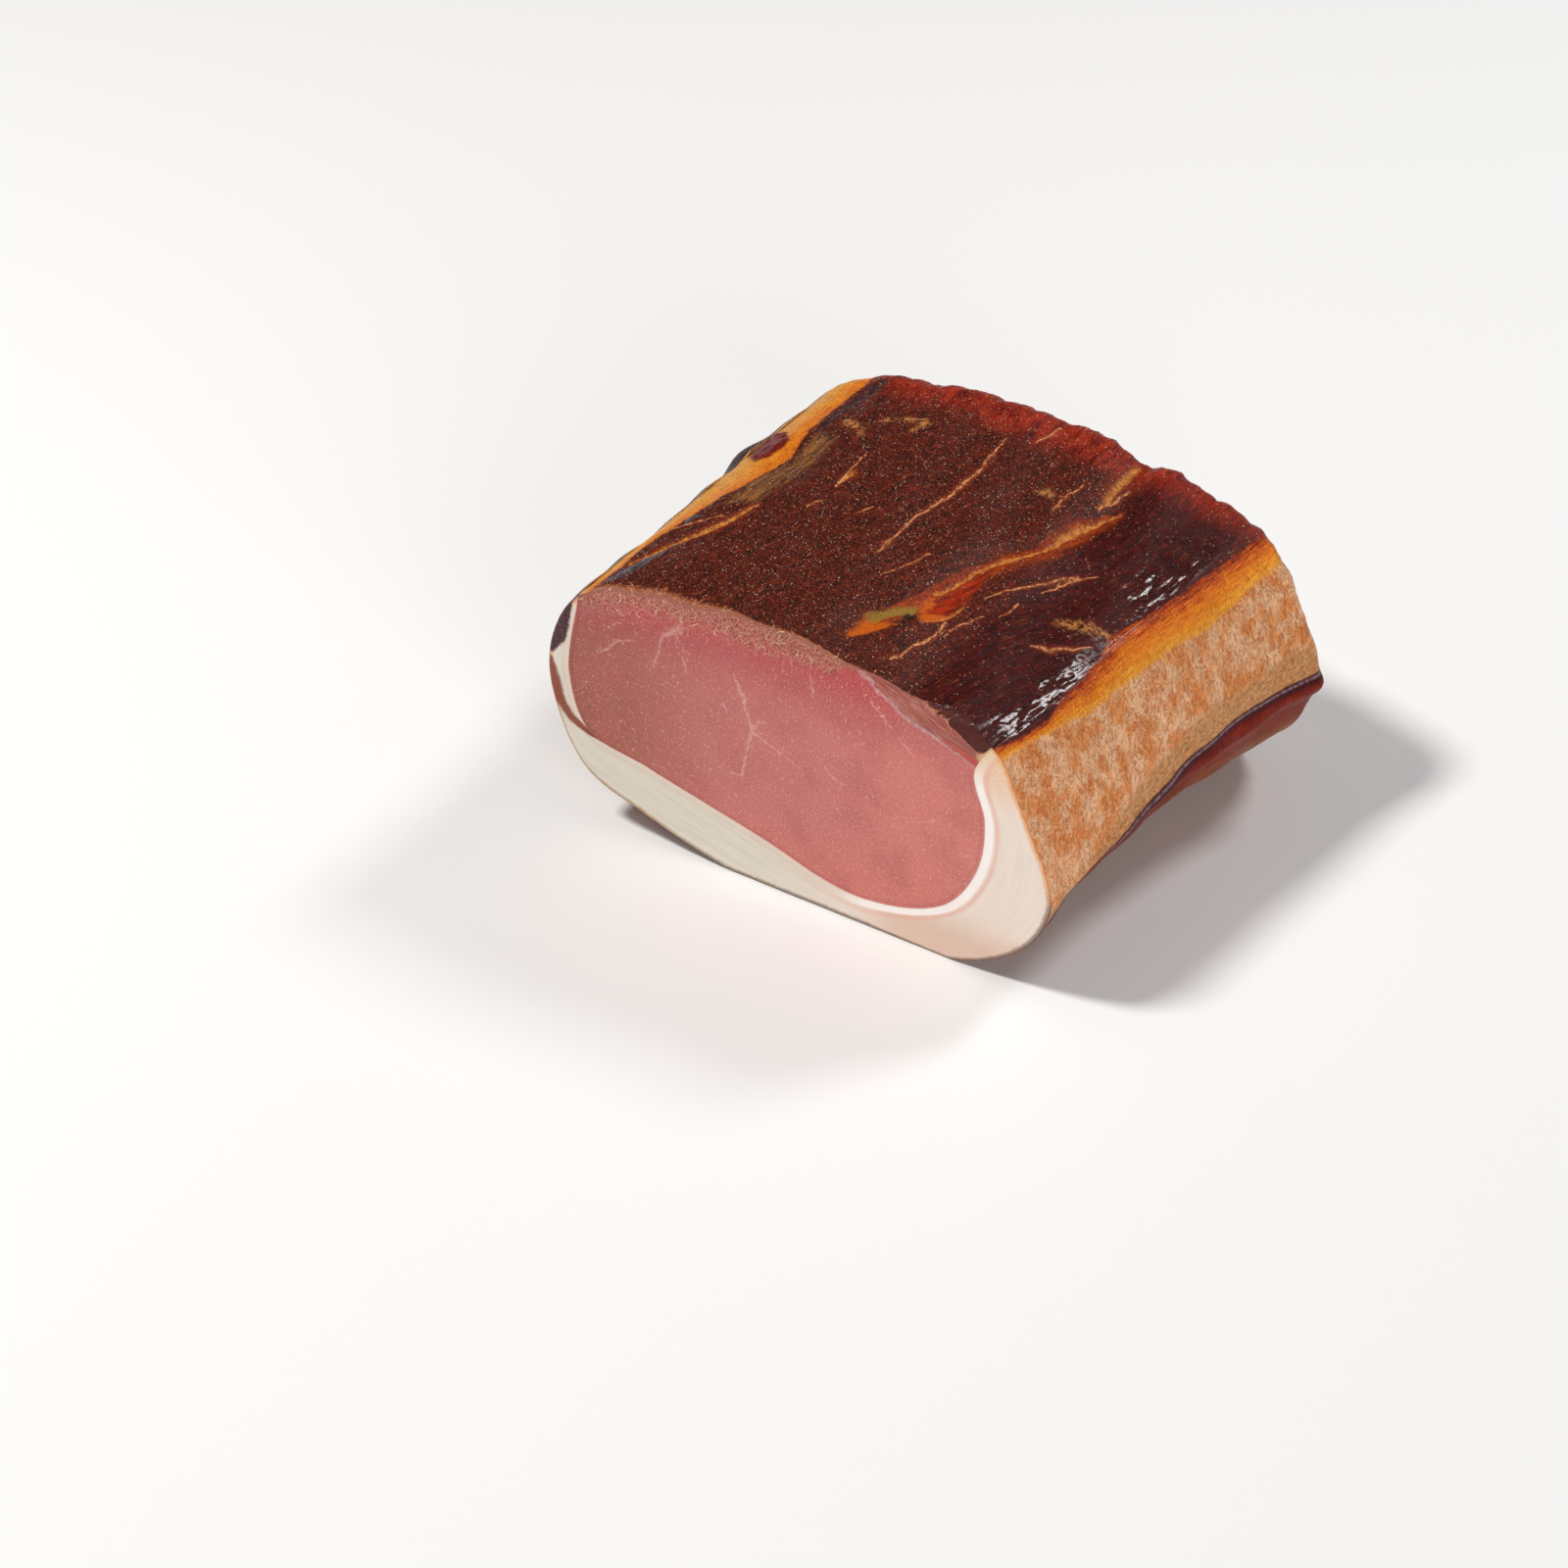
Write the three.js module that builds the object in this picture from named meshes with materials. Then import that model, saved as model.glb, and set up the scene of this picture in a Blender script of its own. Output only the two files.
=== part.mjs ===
// Smoked back bacon: one block of cured pork loin inside its cap of fat.
// The front (-Y) is a fresh straight cut, the length runs along +Y to the smoked end,
// +X is right as seen from the cut, +Z is up. Millimetres throughout.
// Two solids: the lean eye with its dark smoked top, and the fat that wraps its sides and
// underside, whose outer skin is the rind. The origin is on the ground, under the block's middle.

import * as THREE from 'three';

// Driving sizes
const LENGTH = 118;
const END_BOW = 8.5;
const END_BOW_CENTRE = -10;
const HALF_WIDTH = 68;
const END_ROLL = 6;
const END_CROWN = 1.6;
const CUT_BEVEL = 3;
const CUT_MARGIN = 9;
const SEAM_GAP = 0.3;
const HORN_CLEARANCE = 1;

// Fineness of the facets
const BODY_RINGS = 22;
const END_RINGS = 4;
const TOP_STEPS = 36;
const CUT_RINGS = 4;
const END_CAP_RINGS = 3;

// The cross-section's outline, clockwise from the left shoulder as seen from the cut. Each corner
// has its place at the cut, its place at the smoked end, and how far mid-length is pinched in.
const OUTLINE = [
  { name: 'left shoulder', cut: [-57.5, 58.8], end: [-61.5, 57.5], pinch: 0 },
  { name: 'top left', cut: [-38, 64.5], end: [-42, 64], pinch: 0 },
  { name: 'crown', cut: [-6, 67], end: [-8, 64.8], pinch: 0 },
  { name: 'top right', cut: [27, 64], end: [30, 61.8], pinch: 0 },
  { name: 'right shoulder', cut: [50, 60], end: [56, 58], pinch: 0 },
  { name: 'side', cut: [58.5, 45], end: [68, 46], pinch: 1.5 },
  { name: 'lip', cut: [65.5, 24.5], end: [75.5, 29.5], pinch: 5 },
  { name: 'heel', cut: [59.5, 11], end: [69, 13], pinch: 6.5 },
  { name: 'right keel', cut: [43, 0.6], end: [50, 0.6], pinch: 6 },
  { name: 'keel', cut: [18, -0.6], end: [18, -0.6], pinch: 0 },
  { name: 'left keel', cut: [-15, -0.4], end: [-19, -0.5], pinch: 0 },
  { name: 'belly', cut: [-42, 6.5], end: [-45, 5], pinch: 0 },
  { name: 'left foot', cut: [-57, 13], end: [-60, 12], pinch: 0 },
  { name: 'left side', cut: [-65.8, 32], end: [-69, 30], pinch: 0 },
  { name: 'upper left', cut: [-65, 46.5], end: [-69, 45], pinch: 0 },
];
const RIGHT_SHOULDER = 4;
const LIP = 6;

// The seam where the lean ends and the fat starts, from the right shoulder round the underside
// to the left shoulder. Its two ends lie on the outline. Each corner has the outline place that
// it faces across the fat, and the number of facets from it to the next corner.
const SEAM_FIRST = { faces: 4, facets: 5 };
const SEAM = [
  { name: 'right notch', cut: [45.6, 51.6], end: [52, 50], faces: 4.6, facets: 4 },
  { name: 'upper right', cut: [48.6, 40], end: [55, 41], faces: 5.3, facets: 5 },
  { name: 'lower right', cut: [46.8, 26], end: [53, 28], faces: 6, facets: 7 },
  { name: 'bottom right', cut: [38, 13.4], end: [43, 15], faces: 7.2, facets: 6 },
  { name: 'bottom', cut: [16.5, 7.1], end: [18, 8], faces: 9, facets: 4 },
  { name: 'bottom middle', cut: [-12, 13.4], end: [-14, 12], faces: 10, facets: 4 },
  { name: 'bottom left', cut: [-40, 19.6], end: [-43, 18], faces: 11, facets: 4 },
  { name: 'left heel', cut: [-55.6, 23.6], end: [-58.5, 22.5], faces: 12, facets: 4 },
  { name: 'left', cut: [-60.6, 37], end: [-63.5, 36], faces: 13.2, facets: 5 },
];

// The furrow along the smoked top, where two muscles meet: [across, along]
const FURROW = [[4, 14], [12, 30], [14, 54], [23, 76], [25, 92], [21, 112]];

// Swellings beside the furrow and the furrow itself, by their distance from its line
const TOP_LOBES = [
  { away: 0, reach: 3.2, height: -1.3 },
  { away: 9, reach: 6, height: 0.8 },
  { away: -8, reach: 6, height: 0.45 },
];

// Slow unevenness, as waves with so many radians for each millimetre
const TOP_WAVES = [
  { height: 0.38, across: 0.33, along: 0.09, start: 1 },
  { height: 0.33, across: -0.12, along: 0.17, start: 0 },
];
const SIDE_WAVES = [
  { height: 0.3, across: 0.1, along: 0.16, start: 0 },
  { height: 0.2, across: -0.12, along: 0.37, start: 0 },
];
const END_WAVES = [
  { height: 0.5, across: 0.23, along: 0, start: 0.6 },
  { height: 0.3, across: 0.71, along: 0, start: 0 },
  { height: 0.2, across: 1.3, along: 0, start: 0 },
];

// The rind's lip on the right: its ridge and the gutter below, by the distance from its edge.
// It grows over this stretch of the length.
const LIP_RIDGES = [
  { away: 0, reach: 2.4, height: 1.7 },
  { away: 6, reach: 3.5, height: -0.8 },
];
const LIP_GROWS = { from: -6, to: 22 };
const LIP_CORNER_SPACING = { above: 22, below: 15 };

// The lump of dried meat that stands out on the left shoulder
const LUMP = { place: 14.6, spread: 0.35, along: 76, reach: 8, height: 2.2 };

// Where the relief of the top, of the sides and of the cut's frayed margin fades in and out, as
// outline places, and the heights over which the sides leave the ground
const TOP_FADES = { in: [0.1, 0.7], out: [3.6, 4.2] };
const SIDE_FADES = { in: [4, 4.6], raised: [4, 14] };
const MARGIN_FADES = { in: [0, 0.5], out: [3.5, 4] };
const FURROW_OPENS = [6, 20];

const SECTION_MIDDLE = new THREE.Vector2(0, 33);
const LEAN_MIDDLE = new THREE.Vector2(-4, 36);

const blend = (from, to, share) => from + (to - from) * share;
const fade = (value, [from, to]) => THREE.MathUtils.smoothstep(value, from, to);
const bump = (distance, reach) => Math.exp(-((distance / reach) ** 2));

// The sum of a list of ridges and hollows at a distance from their line
function ridges(list, distance) {
  return list.reduce((sum, { away, reach, height }) => sum + height * bump(distance - away, reach), 0);
}

// The sum of a list of waves at a place
function waves(list, across, along) {
  return list.reduce((sum, wave) => {
    const angle = wave.across * across + wave.along * along + wave.start;
    return sum + wave.height * Math.sin(angle);
  }, 0);
}

// The section's outline at a share of the length, as a closed curve in the X, Z plane
function outlineCurve(share) {
  const arch = 4 * share * (1 - share);
  const corners = OUTLINE.map(({ cut, end, pinch }) => new THREE.Vector3(
    blend(cut[0], end[0], share) - arch * pinch,
    0,
    blend(cut[1], end[1], share),
  ));
  return new THREE.CatmullRomCurve3(corners, true, 'centripetal');
}

// The seam at the same share of the length, hung between the outline's two shoulders
function seamCurve(share, outline) {
  const corners = SEAM.map(({ cut, end }) => new THREE.Vector3(
    blend(cut[0], end[0], share),
    0,
    blend(cut[1], end[1], share),
  ));
  const rightEnd = outline.getPoint(RIGHT_SHOULDER / OUTLINE.length);
  const leftEnd = outline.getPoint(0);
  return new THREE.CatmullRomCurve3([rightEnd, ...corners, leftEnd], false, 'centripetal');
}

// How far back the smoked end lies at a place across the block
function endAt(across) {
  return LENGTH - END_BOW * ((across - END_BOW_CENTRE) / HALF_WIDTH) ** 2;
}

// Where the furrow runs across the top at a place along the block
function furrowAt(along) {
  const next = FURROW.findIndex(([, y]) => y > along);
  if (next === 0) return FURROW[0][0];
  if (next < 0) return FURROW.at(-1)[0];
  const [x0, y0] = FURROW[next - 1];
  const [x1, y1] = FURROW[next];
  return blend(x0, x1, fade(along, [y0, y1]));
}

// The rind's lip, which dies out towards the cut
function lipRelief(place, along) {
  const { above, below } = LIP_CORNER_SPACING;
  const distance = (place - LIP) * (place < LIP ? above : below);
  return fade(along, [LIP_GROWS.from, LIP_GROWS.to]) * ridges(LIP_RIDGES, distance);
}

// Crags of the smoked top: the furrow, the muscle lobes beside it and a slow unevenness
function topRelief(place, across, along) {
  const onTop = fade(place, TOP_FADES.in) * (1 - fade(place, TOP_FADES.out));
  const lobes = fade(along, FURROW_OPENS) * ridges(TOP_LOBES, across - furrowAt(along));
  return onTop * (lobes + waves(TOP_WAVES, across, along));
}

// Slow waves of the fat's sides, none where it lies on the ground
function sideRelief(place, height, along) {
  const weight = fade(place, SIDE_FADES.in) * fade(height, SIDE_FADES.raised);
  return weight * waves(SIDE_WAVES, height, along);
}

// The left shoulder's lump
function lumpRelief(place, along) {
  return LUMP.height * bump(place - LUMP.place, LUMP.spread) * bump(along - LUMP.along, LUMP.reach);
}

// The rings along the block: straight down its length, then rolled in round the smoked end
function ringPlaces() {
  const rollShare = END_ROLL / LENGTH;
  const places = [];
  for (let ring = 0; ring <= BODY_RINGS; ring += 1) {
    places.push({ share: (1 - rollShare) * ring / BODY_RINGS, scale: 1 });
  }
  for (let ring = 1; ring <= END_RINGS; ring += 1) {
    const angle = 0.5 * Math.PI * ring / END_RINGS;
    places.push({
      share: 1 - rollShare * (1 - Math.sin(angle)),
      scale: 1 - END_ROLL / HALF_WIDTH * (1 - Math.cos(angle)),
    });
  }
  return places;
}

// A section point set down at its place along the block, between its own start and end
function setDown(across, height, ring, start = 0, ragged = 0) {
  const along = blend(start, endAt(across) + ragged, ring.share);
  const middle = SECTION_MIDDLE;
  return new THREE.Vector3(
    blend(middle.x, across, ring.scale),
    along,
    Math.max(0, blend(middle.y, height, ring.scale)),
  );
}

// A point of the outer surface: the outline moved out by the relief there
function outerPoint(outline, place, ring, start = 0) {
  const turn = place / OUTLINE.length;
  const flat = outline.getPoint(turn);
  const tangent = outline.getTangent(turn);
  const along = endAt(flat.x) * ring.share;
  const relief = topRelief(place, flat.x, along) + sideRelief(place, flat.z, along)
    + lipRelief(place, along) + lumpRelief(place, along);
  const across = flat.x - tangent.z * relief;
  const height = flat.z + tangent.x * relief;
  return setDown(across, height, ring, start, waves(END_WAVES, flat.x, 0));
}

// A point of the seam, moved away from the lean by a gap
function seamPoint(seam, turn, ring, gap) {
  const flat = seam.getPoint(turn);
  const tangent = seam.getTangent(turn);
  return setDown(flat.x - tangent.z * gap, flat.z + tangent.x * gap, ring);
}

// How far the frayed top margin of the cut falls back, most at the middle of the top
function cutBevel(place) {
  return CUT_BEVEL * fade(place, MARGIN_FADES.in) * (1 - fade(place, MARGIN_FADES.out));
}

// The lines across the fat's band, from the right shoulder to the left: where each one starts
// on the seam, as a share of that curve, and the outline place that it runs out to
function bandLines() {
  const corners = [SEAM_FIRST, ...SEAM];
  const lines = [];
  corners.forEach(({ faces, facets }, corner) => {
    const nextFaces = corners[corner + 1]?.faces ?? OUTLINE.length;
    for (let facet = 0; facet < facets; facet += 1) {
      const share = facet / facets;
      lines.push({ turn: (corner + share) / corners.length, place: blend(faces, nextFaces, share) });
    }
  });
  return [...lines, { turn: 1, place: OUTLINE.length }];
}

// One ring of the lean: over the smoked top, then back along the seam
function leanRing(ring) {
  const outline = outlineCurve(ring.share);
  const seam = seamCurve(ring.share, outline);
  const points = [];
  for (let step = 0; step <= TOP_STEPS; step += 1) {
    const place = RIGHT_SHOULDER * step / TOP_STEPS;
    points.push(outerPoint(outline, place, ring, cutBevel(place)));
  }
  bandLines().slice(1, -1).forEach(({ turn }) => points.push(seamPoint(seam, turn, ring, 0)));
  return points;
}

// One ring of the fat: round its outer surface from horn to horn, then back along the seam
function fatRing(ring) {
  const outline = outlineCurve(ring.share);
  const seam = seamCurve(ring.share, outline);
  const perCorner = outline.getLength() / OUTLINE.length;
  const trim = HORN_CLEARANCE / perCorner;
  const lines = bandLines();
  const outer = lines.map(({ place }) => {
    const clear = THREE.MathUtils.clamp(place, RIGHT_SHOULDER + trim, OUTLINE.length - trim);
    return outerPoint(outline, clear, ring);
  });
  const inner = lines.slice(1, -1).map(({ turn }) => seamPoint(seam, turn, ring, SEAM_GAP));
  return [...outer, ...inner.reverse()];
}

// The skin between rings, for points that run clockwise as seen from the cut
function skin(ringCount, pointCount) {
  const faces = [];
  for (let ring = 0; ring + 1 < ringCount; ring += 1) {
    for (let point = 0; point < pointCount; point += 1) {
      const next = (point + 1) % pointCount;
      const here = ring * pointCount;
      const there = here + pointCount;
      faces.push(here + point, here + next, there + next);
      faces.push(here + point, there + next, there + point);
    }
  }
  return faces;
}

// A closed cap of shrinking rings round a middle point, appended to the points.
// It faces the cut where facing is -1 and the smoked end where it is 1.
function ringCap(points, start, count, rings, facing, pointAt) {
  const faces = [];
  const add = (a, b, c) => faces.push(...(facing > 0 ? [a, b, c] : [a, c, b]));
  let outer = start;
  for (let ring = 1; ring < rings; ring += 1) {
    const inner = points.length;
    for (let point = 0; point < count; point += 1) {
      points.push(pointAt(points[start + point], ring / rings));
    }
    for (let point = 0; point < count; point += 1) {
      const next = (point + 1) % count;
      add(outer + point, outer + next, inner + next);
      add(outer + point, inner + next, inner + point);
    }
    outer = inner;
  }
  const middle = points.push(pointAt(points[start], 1)) - 1;
  for (let point = 0; point < count; point += 1) add(outer + point, outer + (point + 1) % count, middle);
  return faces;
}

// The flat band between the fat's outer surface and the seam, at either end. A ring holds the
// outer points and then the inner ones in reverse, with one point shared at each horn.
function bandCap(start, count, facing) {
  const faces = [];
  const add = (a, b, c) => faces.push(...(facing > 0 ? [a, b, c] : [a, c, b]));
  const inner = (line) => start + (count - line) % count;
  for (let line = 0; line < count / 2; line += 1) {
    const outer = start + line;
    if (line + 1 < count / 2) add(outer, outer + 1, inner(line + 1));
    if (line > 0) add(outer, inner(line + 1), inner(line));
  }
  return faces;
}

function solid(points, faces) {
  const geometry = new THREE.BufferGeometry().setFromPoints(points);
  geometry.setIndex(faces);
  geometry.computeVertexNormals();
  return geometry;
}

// The lean: its cut face is flat but for the frayed margin under the smoked top
function leanGeometry() {
  const rings = ringPlaces().map(leanRing);
  const count = rings[0].length;
  const points = rings.flat();
  const faces = skin(rings.length, count);
  const middle = LEAN_MIDDLE;
  const cutPoint = (edge, share) => {
    const reach = Math.hypot(edge.x - middle.x, edge.z - middle.y);
    const margin = Math.max(0, 1 - share * reach / CUT_MARGIN);
    return new THREE.Vector3(
      blend(edge.x, middle.x, share),
      edge.y * margin ** 2,
      blend(edge.z, middle.y, share),
    );
  };
  const endPoint = (edge, share) => {
    const across = blend(edge.x, middle.x, share);
    const smooth = edge.y - endAt(edge.x);
    const along = endAt(across) + smooth * (1 - share) ** 4 + END_CROWN * (1 - (1 - share) ** 2);
    return new THREE.Vector3(across, along, blend(edge.z, middle.y, share));
  };
  faces.push(...ringCap(points, 0, count, CUT_RINGS, -1, cutPoint));
  faces.push(...ringCap(points, (rings.length - 1) * count, count, END_CAP_RINGS, 1, endPoint));
  return solid(points, faces);
}

function fatGeometry() {
  const rings = ringPlaces().map(fatRing);
  const count = rings[0].length;
  const faces = skin(rings.length, count);
  faces.push(...bandCap(0, count, -1));
  faces.push(...bandCap((rings.length - 1) * count, count, 1));
  return solid(rings.flat(), faces);
}

function leanMaterial() {
  return new THREE.MeshStandardMaterial({ color: 0x8e443e, roughness: 0.42, metalness: 0 });
}

function fatMaterial() {
  return new THREE.MeshStandardMaterial({ color: 0xd8a468, roughness: 0.5, metalness: 0 });
}

function namedMesh(name, geometry, material) {
  const mesh = new THREE.Mesh(geometry, material);
  mesh.name = name;
  return mesh;
}

// Both solids together, moved so that the middle of the block's footprint is at the origin
function backBacon() {
  const block = new THREE.Group();
  block.add(namedMesh('lean', leanGeometry(), leanMaterial()));
  block.add(namedMesh('fat_cap', fatGeometry(), fatMaterial()));
  const box = new THREE.Box3().setFromObject(block);
  const middle = box.getCenter(new THREE.Vector3());
  block.position.set(-middle.x, -middle.y, -box.min.z);
  return block;
}

export default backBacon();
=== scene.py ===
"""Looks of one block of smoked back bacon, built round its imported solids.

The block lies on its rind. Its front is a fresh straight cut, its length runs along +Y to the
smoked end, and +X is the side with the rind's lip. Shapes are worked out in millimetres from the
cut and set down in metres in the frame of the solids.
"""

import logging
import math
from dataclasses import dataclass, field
from enum import Enum

import bpy
import numpy as np
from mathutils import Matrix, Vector


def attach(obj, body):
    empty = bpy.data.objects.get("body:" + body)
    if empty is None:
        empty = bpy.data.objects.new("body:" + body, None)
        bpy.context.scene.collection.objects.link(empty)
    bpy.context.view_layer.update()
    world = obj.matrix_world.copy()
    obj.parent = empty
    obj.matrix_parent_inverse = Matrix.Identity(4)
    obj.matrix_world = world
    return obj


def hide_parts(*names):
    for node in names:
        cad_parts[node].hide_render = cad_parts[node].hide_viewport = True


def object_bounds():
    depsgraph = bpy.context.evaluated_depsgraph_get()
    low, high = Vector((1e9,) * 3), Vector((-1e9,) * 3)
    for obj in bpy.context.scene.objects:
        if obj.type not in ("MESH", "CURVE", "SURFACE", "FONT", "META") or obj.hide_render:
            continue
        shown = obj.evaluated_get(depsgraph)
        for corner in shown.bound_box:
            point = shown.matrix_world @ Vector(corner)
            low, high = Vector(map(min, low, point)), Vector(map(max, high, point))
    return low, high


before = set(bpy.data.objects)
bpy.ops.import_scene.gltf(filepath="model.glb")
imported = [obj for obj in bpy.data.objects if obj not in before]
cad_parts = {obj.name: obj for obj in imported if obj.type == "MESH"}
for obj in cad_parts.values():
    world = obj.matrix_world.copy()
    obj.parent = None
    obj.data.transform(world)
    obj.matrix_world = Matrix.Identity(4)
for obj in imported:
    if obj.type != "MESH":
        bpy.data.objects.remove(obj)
CAD_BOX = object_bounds()

LOG = logging.getLogger("back_bacon")
MM = 0.001
BODY = "root"

Array = np.ndarray
Tint = tuple[float, float, float]
Input = bpy.types.NodeSocket | float | int | bool | tuple | str | bpy.types.Material


def tint(red: int, green: int, blue: int) -> Tint:
    """Turn a colour as seen on a screen into the linear values that shaders take.

    Args:
        red: Red, 0 to 255.
        green: Green, 0 to 255.
        blue: Blue, 0 to 255.

    Returns:
        The linear red, green and blue.
    """
    def linear(value: int) -> float:
        """One channel in linear light."""
        share = value / 255
        return share / 12.92 if share <= 0.04045 else ((share + 0.055) / 1.055) ** 2.4

    return linear(red), linear(green), linear(blue)


def blend(start: Array | float, stop: Array | float, share: Array | float) -> Array | float:
    """The value a share of the way from start to stop."""
    return start + (stop - start) * share


def fade(value: Array, low: float, high: float) -> Array:
    """A smooth rise from 0 at low to 1 at high."""
    share = np.clip((value - low) / (high - low), 0.0, 1.0)
    return share * share * (3 - 2 * share)


def bump(distance: Array, reach: float) -> Array:
    """A smooth bump of height 1, by the distance from its middle."""
    return np.exp(-(distance / reach) ** 2)


def follow(stations: tuple[tuple[float, float], ...], at: Array) -> Array:
    """Read a value off a line of stations.

    Args:
        stations: Pairs of a place and its value, in rising order of place.
        at: Where to read.

    Returns:
        The value at each place, level beyond both ends.
    """
    places, values = zip(*stations)
    return np.interp(at, places, values)


def catmull(corners: Array, at: Array, closed: bool) -> Array:
    """Points of smooth centripetal curves through corners.

    Args:
        corners: The corners of each curve, as (curves, corners, 2).
        at: The places wanted on every curve, one unit for each corner.
        closed: Whether the curves close on themselves.

    Returns:
        The points, as (curves, places, 2).
    """
    count = corners.shape[1]
    if closed:
        first = np.floor(at).astype(int)
        around = [corners[:, (first + step) % count] for step in (-1, 0, 1, 2)]
    else:
        first = np.clip(np.floor(at).astype(int), 0, count - 2)
        before = 2 * corners[:, :1] - corners[:, 1:2]
        after = 2 * corners[:, -1:] - corners[:, -2:-1]
        longer = np.concatenate([before, corners, after], axis=1)
        around = [longer[:, first + step] for step in (0, 1, 2, 3)]
    one, two, three, four = around

    def spacing(start: Array, stop: Array) -> Array:
        """The centripetal spacing of two corners."""
        return np.maximum(((start - stop) ** 2).sum(-1), 1e-9)[..., None] ** 0.25

    gap_one, gap_two, gap_three = spacing(one, two), spacing(two, three), spacing(three, four)
    leave = ((two - one) / gap_one - (three - one) / (gap_one + gap_two) + (three - two) / gap_two) * gap_two
    reach = ((three - two) / gap_two - (four - two) / (gap_two + gap_three)
             + (four - three) / gap_three) * gap_two
    share = (at - first)[None, :, None]
    return (two + leave * share + (3 * three - 3 * two - 2 * leave - reach) * share ** 2
            + (2 * two - 2 * three + leave + reach) * share ** 3)


@dataclass(frozen=True)
class Lattice:
    """Smooth random unevenness over a flat map, the same in every run."""

    seed: int
    cells: int = 256

    def at(self, across: Array, along: Array, size_across: float, size_along: float) -> Array:
        """Read the unevenness.

        Args:
            across: First coordinate.
            along: Second coordinate.
            size_across: Size of a feature in the first direction.
            size_along: Size of a feature in the second direction.

        Returns:
            Values from about -1 to 1.
        """
        angles = np.random.default_rng(self.seed).uniform(0, 2 * math.pi, (self.cells, self.cells))
        slopes = np.stack([np.cos(angles), np.sin(angles)], axis=-1)
        across, along = np.broadcast_arrays(across / size_across, along / size_along)
        column, row = np.floor(across).astype(int), np.floor(along).astype(int)
        right, up = across - column, along - row
        ease_right = right ** 3 * (right * (right * 6 - 15) + 10)
        ease_up = up ** 3 * (up * (up * 6 - 15) + 10)
        total = np.zeros_like(right)
        for step_right in (0, 1):
            for step_up in (0, 1):
                slope = slopes[(column + step_right) % self.cells, (row + step_up) % self.cells]
                pull = slope[..., 0] * (right - step_right) + slope[..., 1] * (up - step_up)
                weight = np.abs(1 - step_right - ease_right) * np.abs(1 - step_up - ease_up)
                total += pull * weight
        return total * 1.5

    def rough(self, across: Array, along: Array, size_across: float, size_along: float,
              layers: int = 3) -> Array:
        """Read the unevenness in several sizes, each half as large and as strong as the last.

        Args:
            across: First coordinate.
            along: Second coordinate.
            size_across: Size of the largest feature in the first direction.
            size_along: Size of the largest feature in the second direction.
            layers: How many sizes are added up.

        Returns:
            Values from about -1 to 1.
        """
        total, strength = 0.0, 0.0
        for layer in range(layers):
            share = 0.5 ** layer
            shift = 37.7 * layer
            total = total + share * self.at(across + shift, along - shift,
                                            size_across * share, size_along * share)
            strength += share
        return total / strength


@dataclass(frozen=True)
class Trace:
    """A line of seam fat, fascia or vein on a flat map: its points, each with half its width."""

    points: tuple[tuple[float, float, float], ...]

    def measure(self, across: Array, along: Array, limit: float = 3.0) -> tuple[Array, Array]:
        """Find how near each place is to the line, and on which side of it.

        Args:
            across: First coordinate of the places.
            along: Second coordinate of the places.
            limit: Where the values are cut off, in half widths outside the line.

        Returns:
            How near: 1 on the line, 0 at its edge and below 0 outside. How far to the right, in half
            widths: below 0 on the left.
        """
        shape = np.broadcast(across, along).shape
        near, side = np.full(shape, -limit), np.full(shape, limit + 1)
        for (x0, y0, w0), (x1, y1, w1) in zip(self.points, self.points[1:]):
            run, rise = x1 - x0, y1 - y0
            length = math.hypot(run, rise)
            share = np.clip(((across - x0) * run + (along - y0) * rise) / length ** 2, 0, 1)
            half = blend(w0, w1, share)
            here = 1 - np.hypot(across - x0 - share * run, along - y0 - share * rise) / half
            right = ((across - x0) * rise - (along - y0) * run) / length / half
            nearer = here > near
            near = np.where(nearer, here, near)
            side = np.where(nearer, np.clip(right, -limit - 1, limit + 1), side)
        return near, side

    def field(self, across: Array, along: Array) -> Array:
        """How near each place is to the line: 1 on it, 0 at its edge and below 0 outside."""
        return self.measure(across, along)[0]


def nearest(traces: tuple[Trace, ...], across: Array, along: Array) -> tuple[Array, Array]:
    """Measure to the nearest of several lines.

    Args:
        traces: The lines.
        across: First coordinate of the places.
        along: Second coordinate of the places.

    Returns:
        How near that line is and how far to its right each place is, as the line measures them.
    """
    near, side = traces[0].measure(across, along)
    for trace in traces[1:]:
        other_near, other_side = trace.measure(across, along)
        nearer = other_near > near
        near, side = np.where(nearer, other_near, near), np.where(nearer, other_side, side)
    return near, side


@dataclass(frozen=True)
class Patch:
    """A filled region on a flat map, by its outline."""

    outline: tuple[tuple[float, float], ...]

    def field(self, across: Array, along: Array, limit: float = 6.0) -> Array:
        """How far each place is inside the region.

        Args:
            across: First coordinate of the places.
            along: Second coordinate of the places.
            limit: The largest distance told apart, in millimetres.

        Returns:
            The distance to the outline, above 0 inside and below 0 outside.
        """
        shape = np.broadcast(across, along).shape
        nearest, inside = np.full(shape, limit), np.zeros(shape, bool)
        for (x0, y0), (x1, y1) in zip(self.outline, self.outline[1:] + self.outline[:1]):
            run, rise = x1 - x0, y1 - y0
            share = np.clip(((across - x0) * run + (along - y0) * rise) / (run ** 2 + rise ** 2), 0, 1)
            nearest = np.minimum(nearest, np.hypot(across - x0 - share * run, along - y0 - share * rise))
            if y0 != y1:
                crossed = (y0 > along) != (y1 > along)
                inside ^= crossed & (across < x0 + run * (along - y0) / (y1 - y0))
        return np.where(inside, nearest, -nearest)


@dataclass(frozen=True)
class Corner:
    """A corner of the section: its place at the cut and at the smoked end, in millimetres."""

    name: str
    cut: tuple[float, float]
    end: tuple[float, float]
    pinch: float = 0.0
    faces: float = 0.0
    lines: int = 0


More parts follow.
